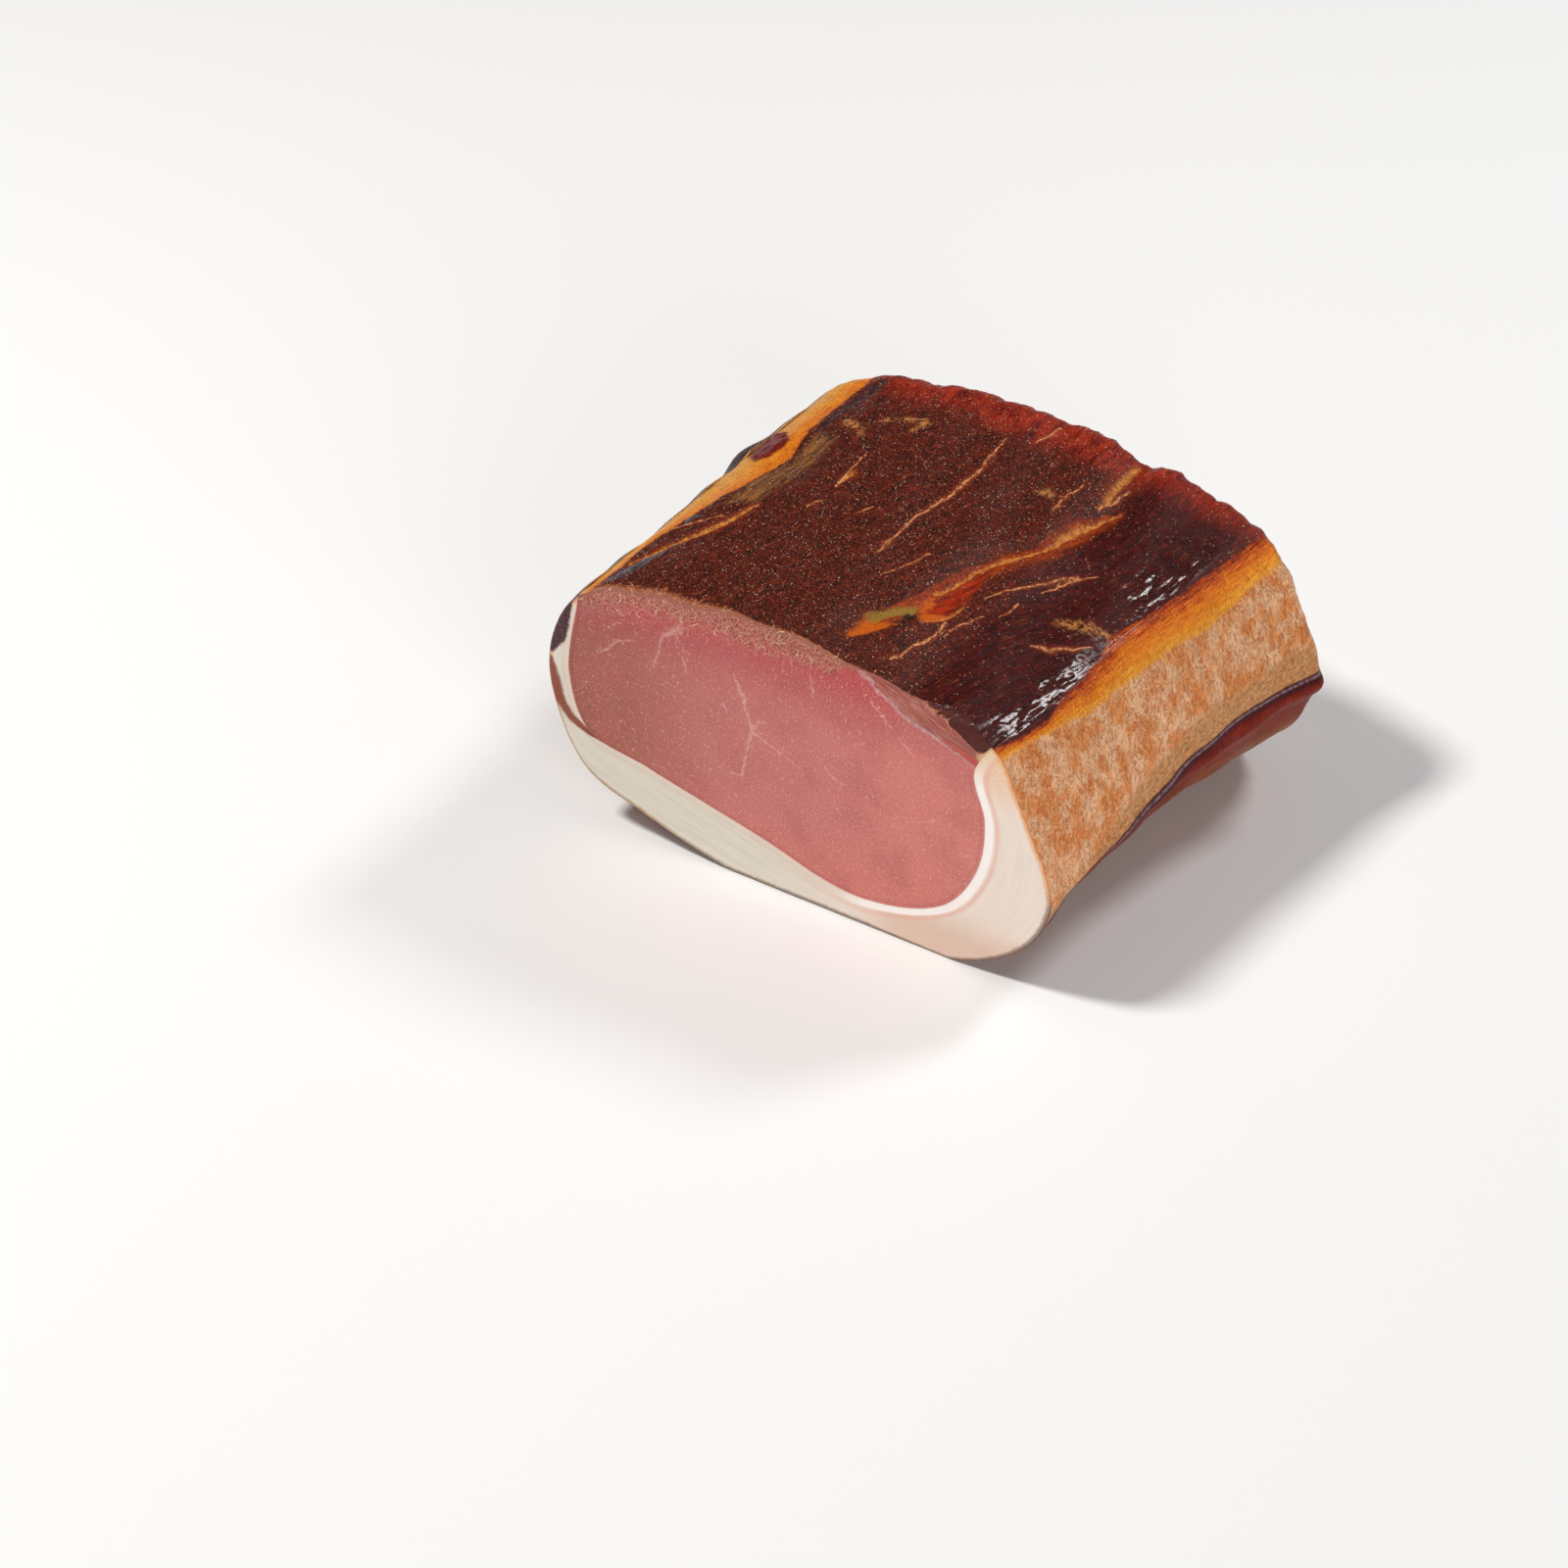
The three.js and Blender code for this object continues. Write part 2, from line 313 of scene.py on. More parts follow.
OUTLINE = (
    Corner("left shoulder", (-57.5, 58.8), (-61.5, 57.5)),
    Corner("top left", (-38, 64.5), (-42, 64)),
    Corner("crown", (-6, 67), (-8, 64.8)),
    Corner("top right", (27, 64), (30, 61.8)),
    Corner("right shoulder", (50, 60), (56, 58)),
    Corner("side", (58.5, 45), (68, 46), pinch=1.5),
    Corner("lip", (65.5, 24.5), (75.5, 29.5), pinch=5),
    Corner("heel", (59.5, 11), (69, 13), pinch=6.5),
    Corner("right keel", (43, 0.6), (50, 0.6), pinch=6),
    Corner("keel", (18, -0.6), (18, -0.6)),
    Corner("left keel", (-15, -0.4), (-19, -0.5)),
    Corner("belly", (-42, 6.5), (-45, 5)),
    Corner("left foot", (-57, 13), (-60, 12)),
    Corner("left side", (-65.8, 32), (-69, 30)),
    Corner("upper left", (-65, 46.5), (-69, 45)),
)
CROWN, RIGHT_SHOULDER, LIP, UNDERSIDE, ROUND = 2, 4, 6, 10, len(OUTLINE)
# Steps between two corners when the way round is measured, and rows of a wall that smoke reached
GIRTH_STEPS, SMOKED_ROWS = 20, 4

# The seam between lean and fat, from the right shoulder round the underside to the left one. Each
# corner faces a place of the outline, and some lines cross the fat between it and the next corner.
SEAM_FIRST = Corner("right horn", (50, 60), (56, 58), faces=4, lines=30)
SEAM = (
    Corner("right notch", (45.6, 51.6), (52, 50), faces=4.6, lines=36),
    Corner("upper right", (48.6, 40), (55, 41), faces=5.3, lines=36),
    Corner("lower right", (46.8, 26), (53, 28), faces=6, lines=26),
    Corner("bottom right", (38, 13.4), (43, 15), faces=7.2, lines=22),
    Corner("bottom", (16.5, 7.1), (18, 8), faces=9, lines=16),
    Corner("bottom middle", (-12, 13.4), (-14, 12), faces=10, lines=16),
    Corner("bottom left", (-40, 19.6), (-43, 18), faces=11, lines=14),
    Corner("left heel", (-55.6, 23.6), (-58.5, 22.5), faces=12, lines=24),
    Corner("left", (-60.6, 37), (-63.5, 36), faces=13.2, lines=40),
)

FURROW = ((4, 14), (12, 30), (14, 54), (23, 76), (25, 92), (21, 112))


@dataclass(frozen=True)
class Rings:
    """Where the rings of a swept skin lie: their share of the length, and how far they shrink."""

    share: Array
    scale: Array

    @property
    def count(self) -> int:
        """How many rings there are."""
        return len(self.share)

    def pick(self, chosen: Array) -> "Rings":
        """Some of the rings."""
        return Rings(self.share[chosen], self.scale[chosen])

    def spaced(self, count: int) -> Array:
        """Evenly spaced rings down the straight length, and all that are rolled in.

        Args:
            count: How many rings to take down the straight length.

        Returns:
            The numbers of the rings.
        """
        straight = int((self.scale == 1).sum())
        even = np.linspace(0, straight - 1, count).round().astype(int)
        return np.concatenate([even, np.arange(straight, self.count)])


@dataclass(frozen=True)
class LoinForm:
    """The block's form: a section that changes evenly from the cut to the smoked end."""

    length: float = 118.0
    end_bow: float = 8.5
    end_bow_centre: float = -10.0
    half_width: float = 68.0
    end_roll: float = 6.0
    end_crown: float = 1.6
    cut_bevel: float = 3.0
    cut_margin: float = 9.0
    middle: tuple[float, float] = (0.0, 33.0)
    lean_middle: tuple[float, float] = (-4.0, 36.0)

    def corners(self, table: tuple[Corner, ...], share: Array) -> Array:
        """The corners of a table at shares of the length, as (shares, corners, 2).

        Args:
            table: The corners, each at the cut and at the smoked end.
            share: Shares of the length.

        Returns:
            The corners' places.
        """
        cut = np.array([corner.cut for corner in table], float)
        end = np.array([corner.end for corner in table], float)
        pinch = np.array([[corner.pinch, 0.0] for corner in table])
        share = share[:, None, None]
        return blend(cut, end, share) - 4 * share * (1 - share) * pinch

    def outline(self, places: Array, share: Array) -> Array:
        """Points of the bare outline at places round it, as (shares, places, 2)."""
        return catmull(self.corners(OUTLINE, share), places, closed=True)

    def outward(self, places: Array, share: Array) -> Array:
        """The outline's outward direction at each of its places.

        Args:
            places: Outline places.
            share: Shares of the length.

        Returns:
            Directions of length 1, as (shares, places, 2).
        """
        step = 0.01
        way = self.outline(places + step, share) - self.outline(places - step, share)
        way /= np.linalg.norm(way, axis=-1, keepdims=True)
        return np.stack([-way[..., 1], way[..., 0]], axis=-1)

    def seam(self, turns: Array, share: Array, gap: float = 0.0) -> Array:
        """Points of the seam, moved away from the lean by a gap.

        Args:
            turns: Places along the seam, from 0 at the right shoulder to 1 at the left one.
            share: Shares of the length.
            gap: How far the points stand off the seam.

        Returns:
            The points, as (shares, turns, 2).
        """
        ends = self.outline(np.array([RIGHT_SHOULDER, 0.0]), share)
        corners = np.concatenate([ends[:, :1], self.corners(SEAM, share), ends[:, 1:]], axis=1)
        last = corners.shape[1] - 1
        step = 0.002
        here = catmull(corners, turns * last, closed=False)
        way = (catmull(corners, np.clip(turns + step, 0, 1) * last, closed=False)
               - catmull(corners, np.clip(turns - step, 0, 1) * last, closed=False))
        way /= np.linalg.norm(way, axis=-1, keepdims=True)
        return here + gap * np.stack([-way[..., 1], way[..., 0]], axis=-1)

    def girth(self, places: Array, share: Array) -> Array:
        """Measure round the outline from the crown, to the right above 0 and to the left below.

        Args:
            places: Places of the outline.
            share: Shares of the length.

        Returns:
            The way round in millimetres, as (shares, places).
        """
        marks = np.linspace(0, ROUND, GIRTH_STEPS * ROUND + 1)
        steps = np.linalg.norm(np.diff(self.outline(marks, share), axis=1), axis=-1)
        way = np.concatenate([np.zeros((len(share), 1)), np.cumsum(steps, axis=1)], axis=1)
        at = np.clip(places, 0, ROUND) * GIRTH_STEPS
        low = np.clip(np.floor(at).astype(int), 0, len(marks) - 2)
        found = blend(way[:, low], way[:, low + 1], at - low) - way[:, [GIRTH_STEPS * CROWN]]
        return np.where(places[None] > UNDERSIDE, found - way[:, -1:], found)

    def end_at(self, across: Array) -> Array:
        """How far back the smoked end lies at a place across the block."""
        return self.length - self.end_bow * ((across - self.end_bow_centre) / self.half_width) ** 2

    def furrow_at(self, along: Array) -> Array:
        """Where the furrow runs across the top at a place along the block.

        Args:
            along: How far behind the cut.

        Returns:
            The furrow's place across.
        """
        line = np.array(FURROW, float)
        index = np.clip(np.searchsorted(line[:, 1], along) - 1, 0, len(line) - 2)
        span = line[index + 1, 1] - line[index, 1]
        share = np.clip((along - line[index, 1]) / span, 0, 1)
        eased = share * share * (3 - 2 * share)
        return blend(line[index, 0], line[index + 1, 0], eased)

    def main_relief(self, places: Array, flat: Array, along: Array) -> Array:
        """The relief that the solids have too: furrow, lobes, lip, lump and slow waves.

        Args:
            places: Outline places.
            flat: The bare outline's points at them.
            along: How far behind the cut each point is.

        Returns:
            How far each point stands out.
        """
        across, height = flat[..., 0], flat[..., 1]
        furrow = across - self.furrow_at(along)
        lobes = -1.3 * bump(furrow, 3.2) + 0.8 * bump(furrow - 9, 6) + 0.45 * bump(furrow + 8, 6)
        slow = (0.38 * np.sin(0.33 * across + 0.09 * along + 1)
                + 0.33 * np.sin(-0.12 * across + 0.17 * along))
        top = fade(places, 0.1, 0.7) * (1 - fade(places, 3.6, 4.2)) * (fade(along, 6, 20) * lobes + slow)
        side = (fade(places, 4, 4.6) * fade(height, 4, 14)
                * (0.3 * np.sin(0.1 * height + 0.16 * along) + 0.2 * np.sin(-0.12 * height + 0.37 * along)))
        past_lip = (places - LIP) * np.where(places < LIP, 22.0, 15.0)
        lip = fade(along, -6, 22) * (1.7 * bump(past_lip, 2.4) - 0.8 * bump(past_lip - 6, 3.5))
        lump = 2.2 * bump(places - 14.6, 0.35) * bump(along - 76, 8)
        return top + side + lip + lump

    def rings(self, body: int, roll: int) -> Rings:
        """The rings along the block.

        Args:
            body: Steps down the straight length.
            roll: Steps round the rolled edge of the smoked end.

        Returns:
            The rings, from the cut to the end.
        """
        roll_share = self.end_roll / self.length
        straight = (1 - roll_share) * np.arange(body + 1) / body
        turn = 0.5 * math.pi * np.arange(1, roll + 1) / roll
        share = np.concatenate([straight, 1 - roll_share * (1 - np.sin(turn))])
        shrink = self.end_roll / self.half_width * (1 - np.cos(turn))
        return Rings(share, np.concatenate([np.ones(body + 1), 1 - shrink]))

    def set_down(self, flat: Array, rings: Rings, start: Array | float = 0.0,
                 ragged: Array | float = 0.0) -> Array:
        """Set section points down along the block.

        Args:
            flat: Section points, as (rings, places, 2).
            rings: The rings that they lie on.
            start: How far behind the cut the first ring lies.
            ragged: How far past the end the last ring lies.

        Returns:
            The points in millimetres, as (rings, places, 3).
        """
        across, height = flat[..., 0], flat[..., 1]
        along = blend(start, self.end_at(across) + ragged, rings.share[:, None])
        scale = rings.scale[:, None]
        return np.stack([
            blend(self.middle[0], across, scale),
            along,
            np.maximum(0.0, blend(self.middle[1], height, scale)),
        ], axis=-1)

    def bevel(self, places: Array) -> Array:
        """How far the frayed top margin of the cut falls back."""
        return self.cut_bevel * fade(places, 0, 0.5) * (1 - fade(places, 3.5, 4))

    def band_lines(self) -> tuple[Array, Array]:
        """The lines across the fat, from the right shoulder round to the left one.

        Returns:
            Where each starts on the seam, and the outline place that it runs out to.
        """
        corners = (SEAM_FIRST, *SEAM)
        turns, places = [], []
        for index, corner in enumerate(corners):
            next_faces = corners[index + 1].faces if index + 1 < len(corners) else ROUND
            share = np.arange(corner.lines) / corner.lines
            turns.append((index + share) / len(corners))
            places.append(blend(corner.faces, next_faces, share))
        return np.append(np.concatenate(turns), 1.0), np.append(np.concatenate(places), float(ROUND))


# Marks on the smoked outside, as (way round from the crown, along, half the width) in millimetres
TOP_SEAMS = (
    Trace(((18.5, 37.5, 0.6), (19.8, 41, 0.5), (20.3, 46, 0.6), (21, 51, 0.5), (22, 55, 0.8),
           (24.5, 59, 2.0),
           (27.5, 62.5, 1.5), (29, 66, 0.9), (29.3, 71, 0.9), (29, 76, 1.2), (29.8, 80, 1.4), (31, 84, 0.9),
           (32.3, 88, 0.6), (34.5, 91.5, 0.3))),
    Trace(((27.6, 112, 0.7), (28, 106, 1.1), (28.8, 100, 1.3), (29.2, 95, 1.0), (29.8, 90, 0.4))),
    Trace(((22.5, 25.5, 0.5), (25, 28, 0.7), (26.3, 31, 0.5), (26.5, 36, 0.4), (26, 40, 0.2))),
    Trace(((-35, 47, 0.5), (-36.5, 40, 0.8), (-38.5, 33, 0.9), (-41, 28, 1.0), (-44, 22, 1.0),
           (-48, 14, 0.6))),
    Trace(((-22.6, 70, 0.3), (-22.5, 66, 1.0), (-22.2, 62, 0.3))),
)
THREADS = (
    Trace(((-1.5, 101, 0.15), (-1, 95, 0.35), (0, 90, 0.4), (1.2, 83, 0.5), (1.5, 77.5, 0.7), (1, 72, 0.45),
           (0, 66, 0.35), (-0.8, 61, 0.35), (0, 50, 0.4), (0.6, 46, 0.6), (0.6, 40, 0.15))),
    Trace(((-25, 78, 0.15), (-24, 71, 0.25), (-23, 65, 0.3), (-22, 61, 0.35))),
    Trace(((40, 63, 0.3), (37, 58, 0.4), (34, 52, 0.35), (31, 47, 0.3), (28.5, 42, 0.15))),
    Trace(((43.5, 65, 0.2), (41, 63, 0.35), (38.5, 57, 0.3), (36.5, 52, 0.15))),
    Trace(((46, 34.5, 0.4), (49.5, 36, 0.8), (53, 38.5, 0.5), (55.5, 42, 0.25))),
    Trace(((10.3, 47, 0.15), (9.3, 43, 0.4), (8, 40, 0.2), (6, 36, 0.2))),
    Trace(((-23, 50.5, 0.3), (-22, 53.5, 0.25))),
    Trace(((-12.5, 54, 0.25), (-10.8, 57.5, 0.3))),
    Trace(((27, 28, 0.2), (27.5, 22, 0.3), (26, 15, 0.3), (24.5, 10, 0.25))),
    Trace(((31.5, 36, 0.2), (30, 30, 0.25), (29, 24, 0.2))),
    Trace(((23.5, 94, 0.2), (22.8, 88, 0.35), (22.6, 82, 0.3))),
    Trace(((35.5, 45, 0.2), (35.2, 41, 0.4), (35, 38, 0.15))),
    Trace(((31.5, 101, 0.3), (31, 96, 0.4), (29.8, 91, 0.3))),
    Trace(((6, 112, 0.3), (5.5, 107, 0.25), (4.5, 103, 0.1))),
    Trace(((-38.5, 39.5, 0.2), (-42, 37, 0.3), (-46, 33.5, 0.3), (-49, 30.5, 0.4))),
)
TAN_SPOTS = (
    Trace(((-38, 88.5, 0.5), (-35.5, 86.8, 1.1), (-32.5, 86, 1.3), (-31, 84.3, 0.8))),
    Trace(((-30, 90.5, 0.3), (-28, 93.5, 0.7), (-25, 95, 0.6), (-21.5, 96, 0.8), (-20, 94, 1.1),
           (-21.5, 91.5, 0.5))),
    Trace(((15.8, 85, 0.6), (17.5, 86, 1.3), (20, 85.3, 0.7))),
    Trace(((46, 46, 1.4), (51, 47.5, 1.8), (55.5, 48.5, 1.2))),
)
ORANGE_SPOTS = (
    Patch(((10.8, 20), (11.5, 14.5), (12.3, 11), (15, 13), (17.5, 16.5), (19, 20), (15, 20.5), (13, 22.5))),
    Patch(((18, 32), (18.5, 36), (20.5, 35), (23, 31.5), (26, 30.5), (26, 28), (23.5, 25.5), (21.5, 26),
           (20.5, 28.5))),
)
EMBER_SPOT = Patch(((20.5, 30), (20, 38), (21.5, 48), (23.5, 52), (25, 45), (25.5, 38), (25.3, 31)))
OLIVE_SPOT = Patch(((10.5, 20), (12.5, 23), (16, 28), (18, 31), (19.5, 29), (17, 25.5), (14.5, 22),
                    (13, 20.5)))
HOLLOW = Patch(((17.5, 27.5), (19.5, 28), (21.5, 25), (20, 23.5), (17.5, 25.5)))
# Glossy ledges on the left: wetter in the coat and raised in the relief, and given a painted grey highlight
# streak in the colour
LEFT_GLOSS_AND_PAINTED_HIGHLIGHT = (
    Trace(((-41.5, 26, 0.4), (-43.3, 20, 0.9), (-44.8, 14, 1.3), (-46.5, 8, 1.3), (-48, 4, 0.8))),
    Trace(((-43.5, 37.5, 0.3), (-46.5, 37.5, 0.9), (-46, 34, 0.5))),
)
# Dark purple crust along the left margin, whose bluish-grey cast is a painted reflection
LEFT_DUSK_AND_PAINTED_SHEEN = Trace(((-41.5, 82, 0.6), (-42, 92, 1.3), (-41, 102, 1.5), (-40.5, 109, 1.0)))
LEFT_FIBROUS = Patch(((-41, 82), (-35, 80), (-34, 62), (-36, 48), (-41, 44), (-42.5, 55), (-40.5, 62),
                      (-40.5, 75)))
LEFT_LUMP = Patch(((-55, 83), (-50, 81), (-46.5, 77.5), (-45, 72), (-46, 67), (-48.5, 65.5), (-52, 68),
                   (-55, 73)))
WET_SPOTS = (
    Trace(((40.5, 20, 0.4), (42.5, 33, 0.6))),
    Trace(((48, 85, 0.6), (49.5, 95, 0.7))),
    Trace(((12, 6, 0.6), (16, 8, 0.9), (19, 7, 0.5))),
)

# How far round the crust, the amber bands, the smooth strip and the rind reach, by the place along
CRUST_RIGHT = ((0, 57), (8, 59), (18, 60.2), (26, 59), (34, 59.3), (42, 58.5), (47, 57), (51, 57),
               (58, 57.8),
               (66, 59), (74, 60.5), (84, 61.3), (95, 62.2), (105, 63.5))
CRUST_LEFT = ((0, -49), (10, -49.5), (25, -50), (33, -48.5), (40, -46.5), (47, -44.5), (52, -42.8),
              (60, -41.5), (70, -41), (77, -43), (85, -44.5), (100, -45), (112, -44.5))
AMBER_RIGHT = ((0, 60.5), (10, 61.5), (20, 64), (30, 66), (40, 66.5), (60, 68), (70, 69.5), (75, 70.5),
               (90, 70), (100, 70.5), (107, 71.5))
STRIP_RIGHT = ((0, 98), (20, 93.5), (30, 91), (50, 88), (60, 86), (70, 86), (80, 87.5), (90, 88.5),
               (100, 89.5))
SEAM_GLOW = Trace(((13, 16, 1.0), (18.5, 37.5, 1.3), (21, 50, 1.4), (24.5, 59, 1.6), (28.6, 66, 1.6),
                   (29.2, 76, 1.5), (31, 84, 1.2), (33, 90, 0.8)))
RIND_RIGHT = ((0, 104), (10, 101), (20, 96), (25, 95.3), (30, 94.7), (40, 94.3), (50, 94), (60, 93),
              (70, 92.7), (80, 93.3), (90, 95), (100, 96.5), (105, 97))
RIND_LEFT = ((0, -53.5), (30, -54), (60, -55), (118, -56))
# How wet the right lobe is along the block, and how its fibres and the seam lean
WET_ALONG = ((0, 0), (4, 0.2), (8, 1), (34, 1), (40, 0.15), (60, 0.15), (66, 1), (92, 1), (100, 0.5),
             (110, 0.3))
FLOW = ((0, 10), (20, 13), (40, 20), (60, 26), (80, 30), (112, 28))
# Where the crust's front edge runs, by the way round, and where the frayed margin of the cut lies
CRUST_FRONT = ((-47, 5), (-40, 6.5), (-20, 6), (-12, 4.5), (-5, 3.2), (0, 4.5), (5, 3.8), (10, 3.4),
               (20, 3), (30, 1), (40, 3), (48, 2), (56, 0))
MARGIN_LOW_EDGE = ((-60, 54), (-50, 57), (-40, 60), (-30, 61), (-20, 62), (0, 62), (10, 63), (14, 65.2),
                   (20, 65.6), (28, 63.7), (36, 61.6), (42, 59.4), (46, 57), (50, 58))
CRUST_LOW_EDGE = ((14, 80), (20, 66.4), (28, 64.4), (36, 62.3), (42, 60), (46, 57.6), (50, 58.6))
TORN_TO_CRUST = ((10, 1.0), (24, 2.2))

# Marks on the cut, as (across, height, half the width)
CUT_VEINS = (
    Trace(((-15.8, 53.5, 0.2), (-14.8, 50.5, 0.45), (-13.5, 48.2, 0.7), (-12.6, 44.5, 0.35),
           (-11.2, 41, 0.55),
           (-12.4, 35.5, 0.4), (-13.5, 30, 0.3), (-13.9, 27.5, 0.45), (-16.5, 27.4, 0.2))),
    Trace(((-11.2, 41, 0.45), (-9.6, 43.4, 0.25), (-8, 43.9, 0.2))),
    Trace(((-11.2, 40.4, 0.4), (-8, 38.8, 0.2), (-4, 37.4, 0.15), (1, 35.5, 0.1))),
    Trace(((-19.5, 43.5, 0.1), (-18.6, 44.8, 0.3), (-18, 42.6, 0.15))),
    Trace(((-28.9, 63.5, 0.25), (-30.3, 60.3, 0.7), (-33, 58.2, 0.6), (-35.3, 55.5, 0.4), (-35.8, 52, 0.25),
           (-37.5, 48, 0.3))),
    Trace(((-29.8, 60.5, 0.3), (-30.6, 57.5, 0.2), (-31.4, 56, 0.1))),
    Trace(((-53, 45, 0.15), (-50, 47.4, 0.35), (-46.5, 51, 0.25), (-42, 52.5, 0.15))),
    Trace(((-44.5, 56.4, 0.1), (-47, 55.6, 0.25), (-49.5, 53.2, 0.2))),
    Trace(((3.6, 60, 0.15), (4.6, 57, 0.35), (4.4, 55.6, 0.15))),
    Trace(((19.3, 60, 0.15), (22, 57.6, 0.3), (24.7, 55, 0.15))),
    Trace(((26.5, 53.8, 0.15), (28.4, 51.6, 0.35), (29.8, 50.3, 0.2))),
    Trace(((-29.5, 53, 0.15), (-28.8, 50, 0.3), (-29, 48.6, 0.15))),
    Trace(((32, 33, 0.1), (36, 35.5, 0.2))),
    Trace(((8, 38, 0.1), (10.5, 36, 0.2), (13, 35.8, 0.1))),
)
FASCIA = (
    Trace(((11, 67.2, 0.5), (13.5, 66.2, 0.7), (16, 64.5, 0.5), (20, 62.5, 0.35), (25, 60.4, 0.45),
           (29, 58.9, 0.6), (33, 57.9, 0.8), (36, 56.9, 0.35), (42, 54.8, 0.2), (49, 51.5, 0.15))),
)
CAP_MUSCLE = Patch(((10, 68), (13, 66.4), (16, 64.5), (20, 62.5), (25, 60.3), (30, 58.5), (38, 56.3),
                    (42, 54.8), (47, 53), (52, 60), (46, 64), (28, 67)))
RED_STREAK = Trace(((38, 57, 0.25), (44, 55.2, 0.7), (49, 53.2, 0.5)))
PALE_CORNER = Patch(((46.4, 57.4), (49, 60), (52, 61), (51, 56), (49, 54.2), (46.6, 55)))
LEFT_FOLD = Trace(((-66, 39, 1.2), (-65, 35, 1.7), (-63.4, 29, 1.5), (-60.3, 25.2, 1.2),
                   (-55.5, 22.9, 0.8), (-50, 21.6, 0.3)))
DARK_LUMP = Patch(((-56.5, 60.5), (-59.2, 56.5), (-60.2, 50), (-61.4, 45.5), (-65, 41), (-69, 41),
                   (-68, 63)))


@dataclass(frozen=True)
class Spread:
    """Points in millimetres and the values that they carry, all of one shape."""

    points: Array
    values: dict[str, Array] = field(default_factory=dict)

    def rows(self, chosen: Array | slice) -> "Spread":
        """Some of the rows."""
        values = {name: np.broadcast_to(value, self.points.shape[:-1])[chosen]
                  for name, value in self.values.items()}
        return Spread(self.points[chosen], values)

    def columns(self, chosen: Array | slice) -> "Spread":
        """Some of the columns."""
        values = {name: value[:, chosen] for name, value in self.values.items()}
        return Spread(self.points[:, chosen], values)


@dataclass(frozen=True)
class SmokedSurface:
    """The block's outer surface: its fine relief, and where crust, fat and rind lie on it."""

    form: LoinForm
    grain: Lattice = Lattice(11)
    grit: Lattice = Lattice(12)
    wander: Lattice = Lattice(13)
    drift: Lattice = Lattice(14)
    crease: Lattice = Lattice(15)

    def creases(self, girth: Array, along: Array) -> Array:
        """The creped wrinkles of the smoked fat: 0 in a wrinkle and 1 between.

        Args:
            girth: Way round from the crown.
            along: How far behind the cut.

        Returns:
            Values from 0 to 1.
        """
        girth_moved = girth + 3.2 * self.wander.rough(girth, along, 6.0, 5.0, 3)
        along_moved = along + 3.2 * self.drift.rough(girth, along, 6.0, 5.0, 3)
        swirl = self.crease.at(girth_moved, along_moved, 3.0, 1.7)
        finer = self.crease.at(girth_moved + 50, along_moved, 1.4, 1.1)
        bare = np.clip(np.minimum(np.abs(swirl) / 0.30, 0.3 + np.abs(finer) / 0.36), 0, 1)
        depth = fade(self.drift.rough(girth + 90, along, 7.0, 7.0, 2), -0.45, 0.2)
        return 1 - (1 - bare) * blend(0.3, 1.0, depth)

    def marks(self, places: Array, share: Array, along: Array) -> dict[str, Array]:
        """What each place of the surface is.

        Args:
            places: Outline places.
            share: Shares of the length.
            along: How far behind the cut each point is.

        Returns:
            The values that the finishes read.
        """
        girth = self.form.girth(places, share)
        moved = (girth + 0.9 * self.wander.rough(girth, along, 3.4, 4.4, 3),
                 along + 0.9 * self.drift.rough(girth, along, 3.4, 4.4, 3))
        thread, thread_side = nearest(THREADS, *moved)
        glow, glow_side = SEAM_GLOW.measure(*moved, 4.0)
        crust = np.minimum(follow(CRUST_RIGHT, along) - girth, girth - follow(CRUST_LEFT, along))
        amber = np.minimum(follow(AMBER_RIGHT, along) - girth, girth - follow(RIND_LEFT, along))
        rind = np.maximum(girth - follow(RIND_RIGHT, along), follow(RIND_LEFT, along) - girth)
        strip = np.where(girth > 0, girth - follow(STRIP_RIGHT, along), -10.0)
        bevel = self.form.bevel(places)
        behind = (along - bevel) / np.maximum(follow(CRUST_FRONT, girth) - bevel, 0.5)
        fray = 0.5 * follow(TORN_TO_CRUST, girth - 6) + 0.5 * np.clip(behind, -1, 6)
        on_top = (places < RIGHT_SHOULDER + 0.5) | (places > ROUND - 0.6)
        lobe = fade(girth, 29, 37) * (1 - fade(girth, 60, 64))
        wet = fade(girth, 47, 52) * (1 - fade(girth, 58, 60.5)) * follow(WET_ALONG, along)
        wet = np.maximum(wet, np.clip(nearest(WET_SPOTS, *moved)[0] + 0.5, 0, 1))
        lean = follow(FLOW, along) * fade(girth, -45, 25) * (1 - fade(girth, 40, 75))
        return {
            "girth": girth,
            "flow": girth - lean,
            "along": along,
            "crust": np.clip(crust + 0.7 * self.wander.rough(girth, along, 7.0, 9.0, 3), -30, 30),
            "amber": np.clip(amber + 0.8 * self.wander.rough(girth, along, 6.0, 9.0, 3), -30, 30),
            "rind": np.clip(rind, -30, 30),
            "strip": np.clip(strip + 1.2 * self.wander.rough(girth, along, 6.0, 9.0, 3), -30, 30),
            "seam": nearest(TOP_SEAMS, *moved)[0],
            "thread": thread,
            "thread_side": thread_side,
            "tan": nearest(TAN_SPOTS, *moved)[0],
            "orange": np.maximum(ORANGE_SPOTS[0].field(*moved), ORANGE_SPOTS[1].field(*moved)),
            "ember": EMBER_SPOT.field(*moved),
            "olive": OLIVE_SPOT.field(*moved),
            "hollow": HOLLOW.field(*moved),
            "gloss": nearest(LEFT_GLOSS_AND_PAINTED_HIGHLIGHT, *moved)[0],
            "dusk": LEFT_DUSK_AND_PAINTED_SHEEN.field(*moved),
            "fibrous": LEFT_FIBROUS.field(*moved),
            "lump": LEFT_LUMP.field(*moved),
            "fray": np.where(on_top, fray, 3.0),
            "crease": self.creases(girth, along),
            "wet": wet,
            "lobe": lobe,
            "glow": np.where(glow_side > 0, 1 + glow / 4, np.clip(1 + glow, -1, 1)),
        }

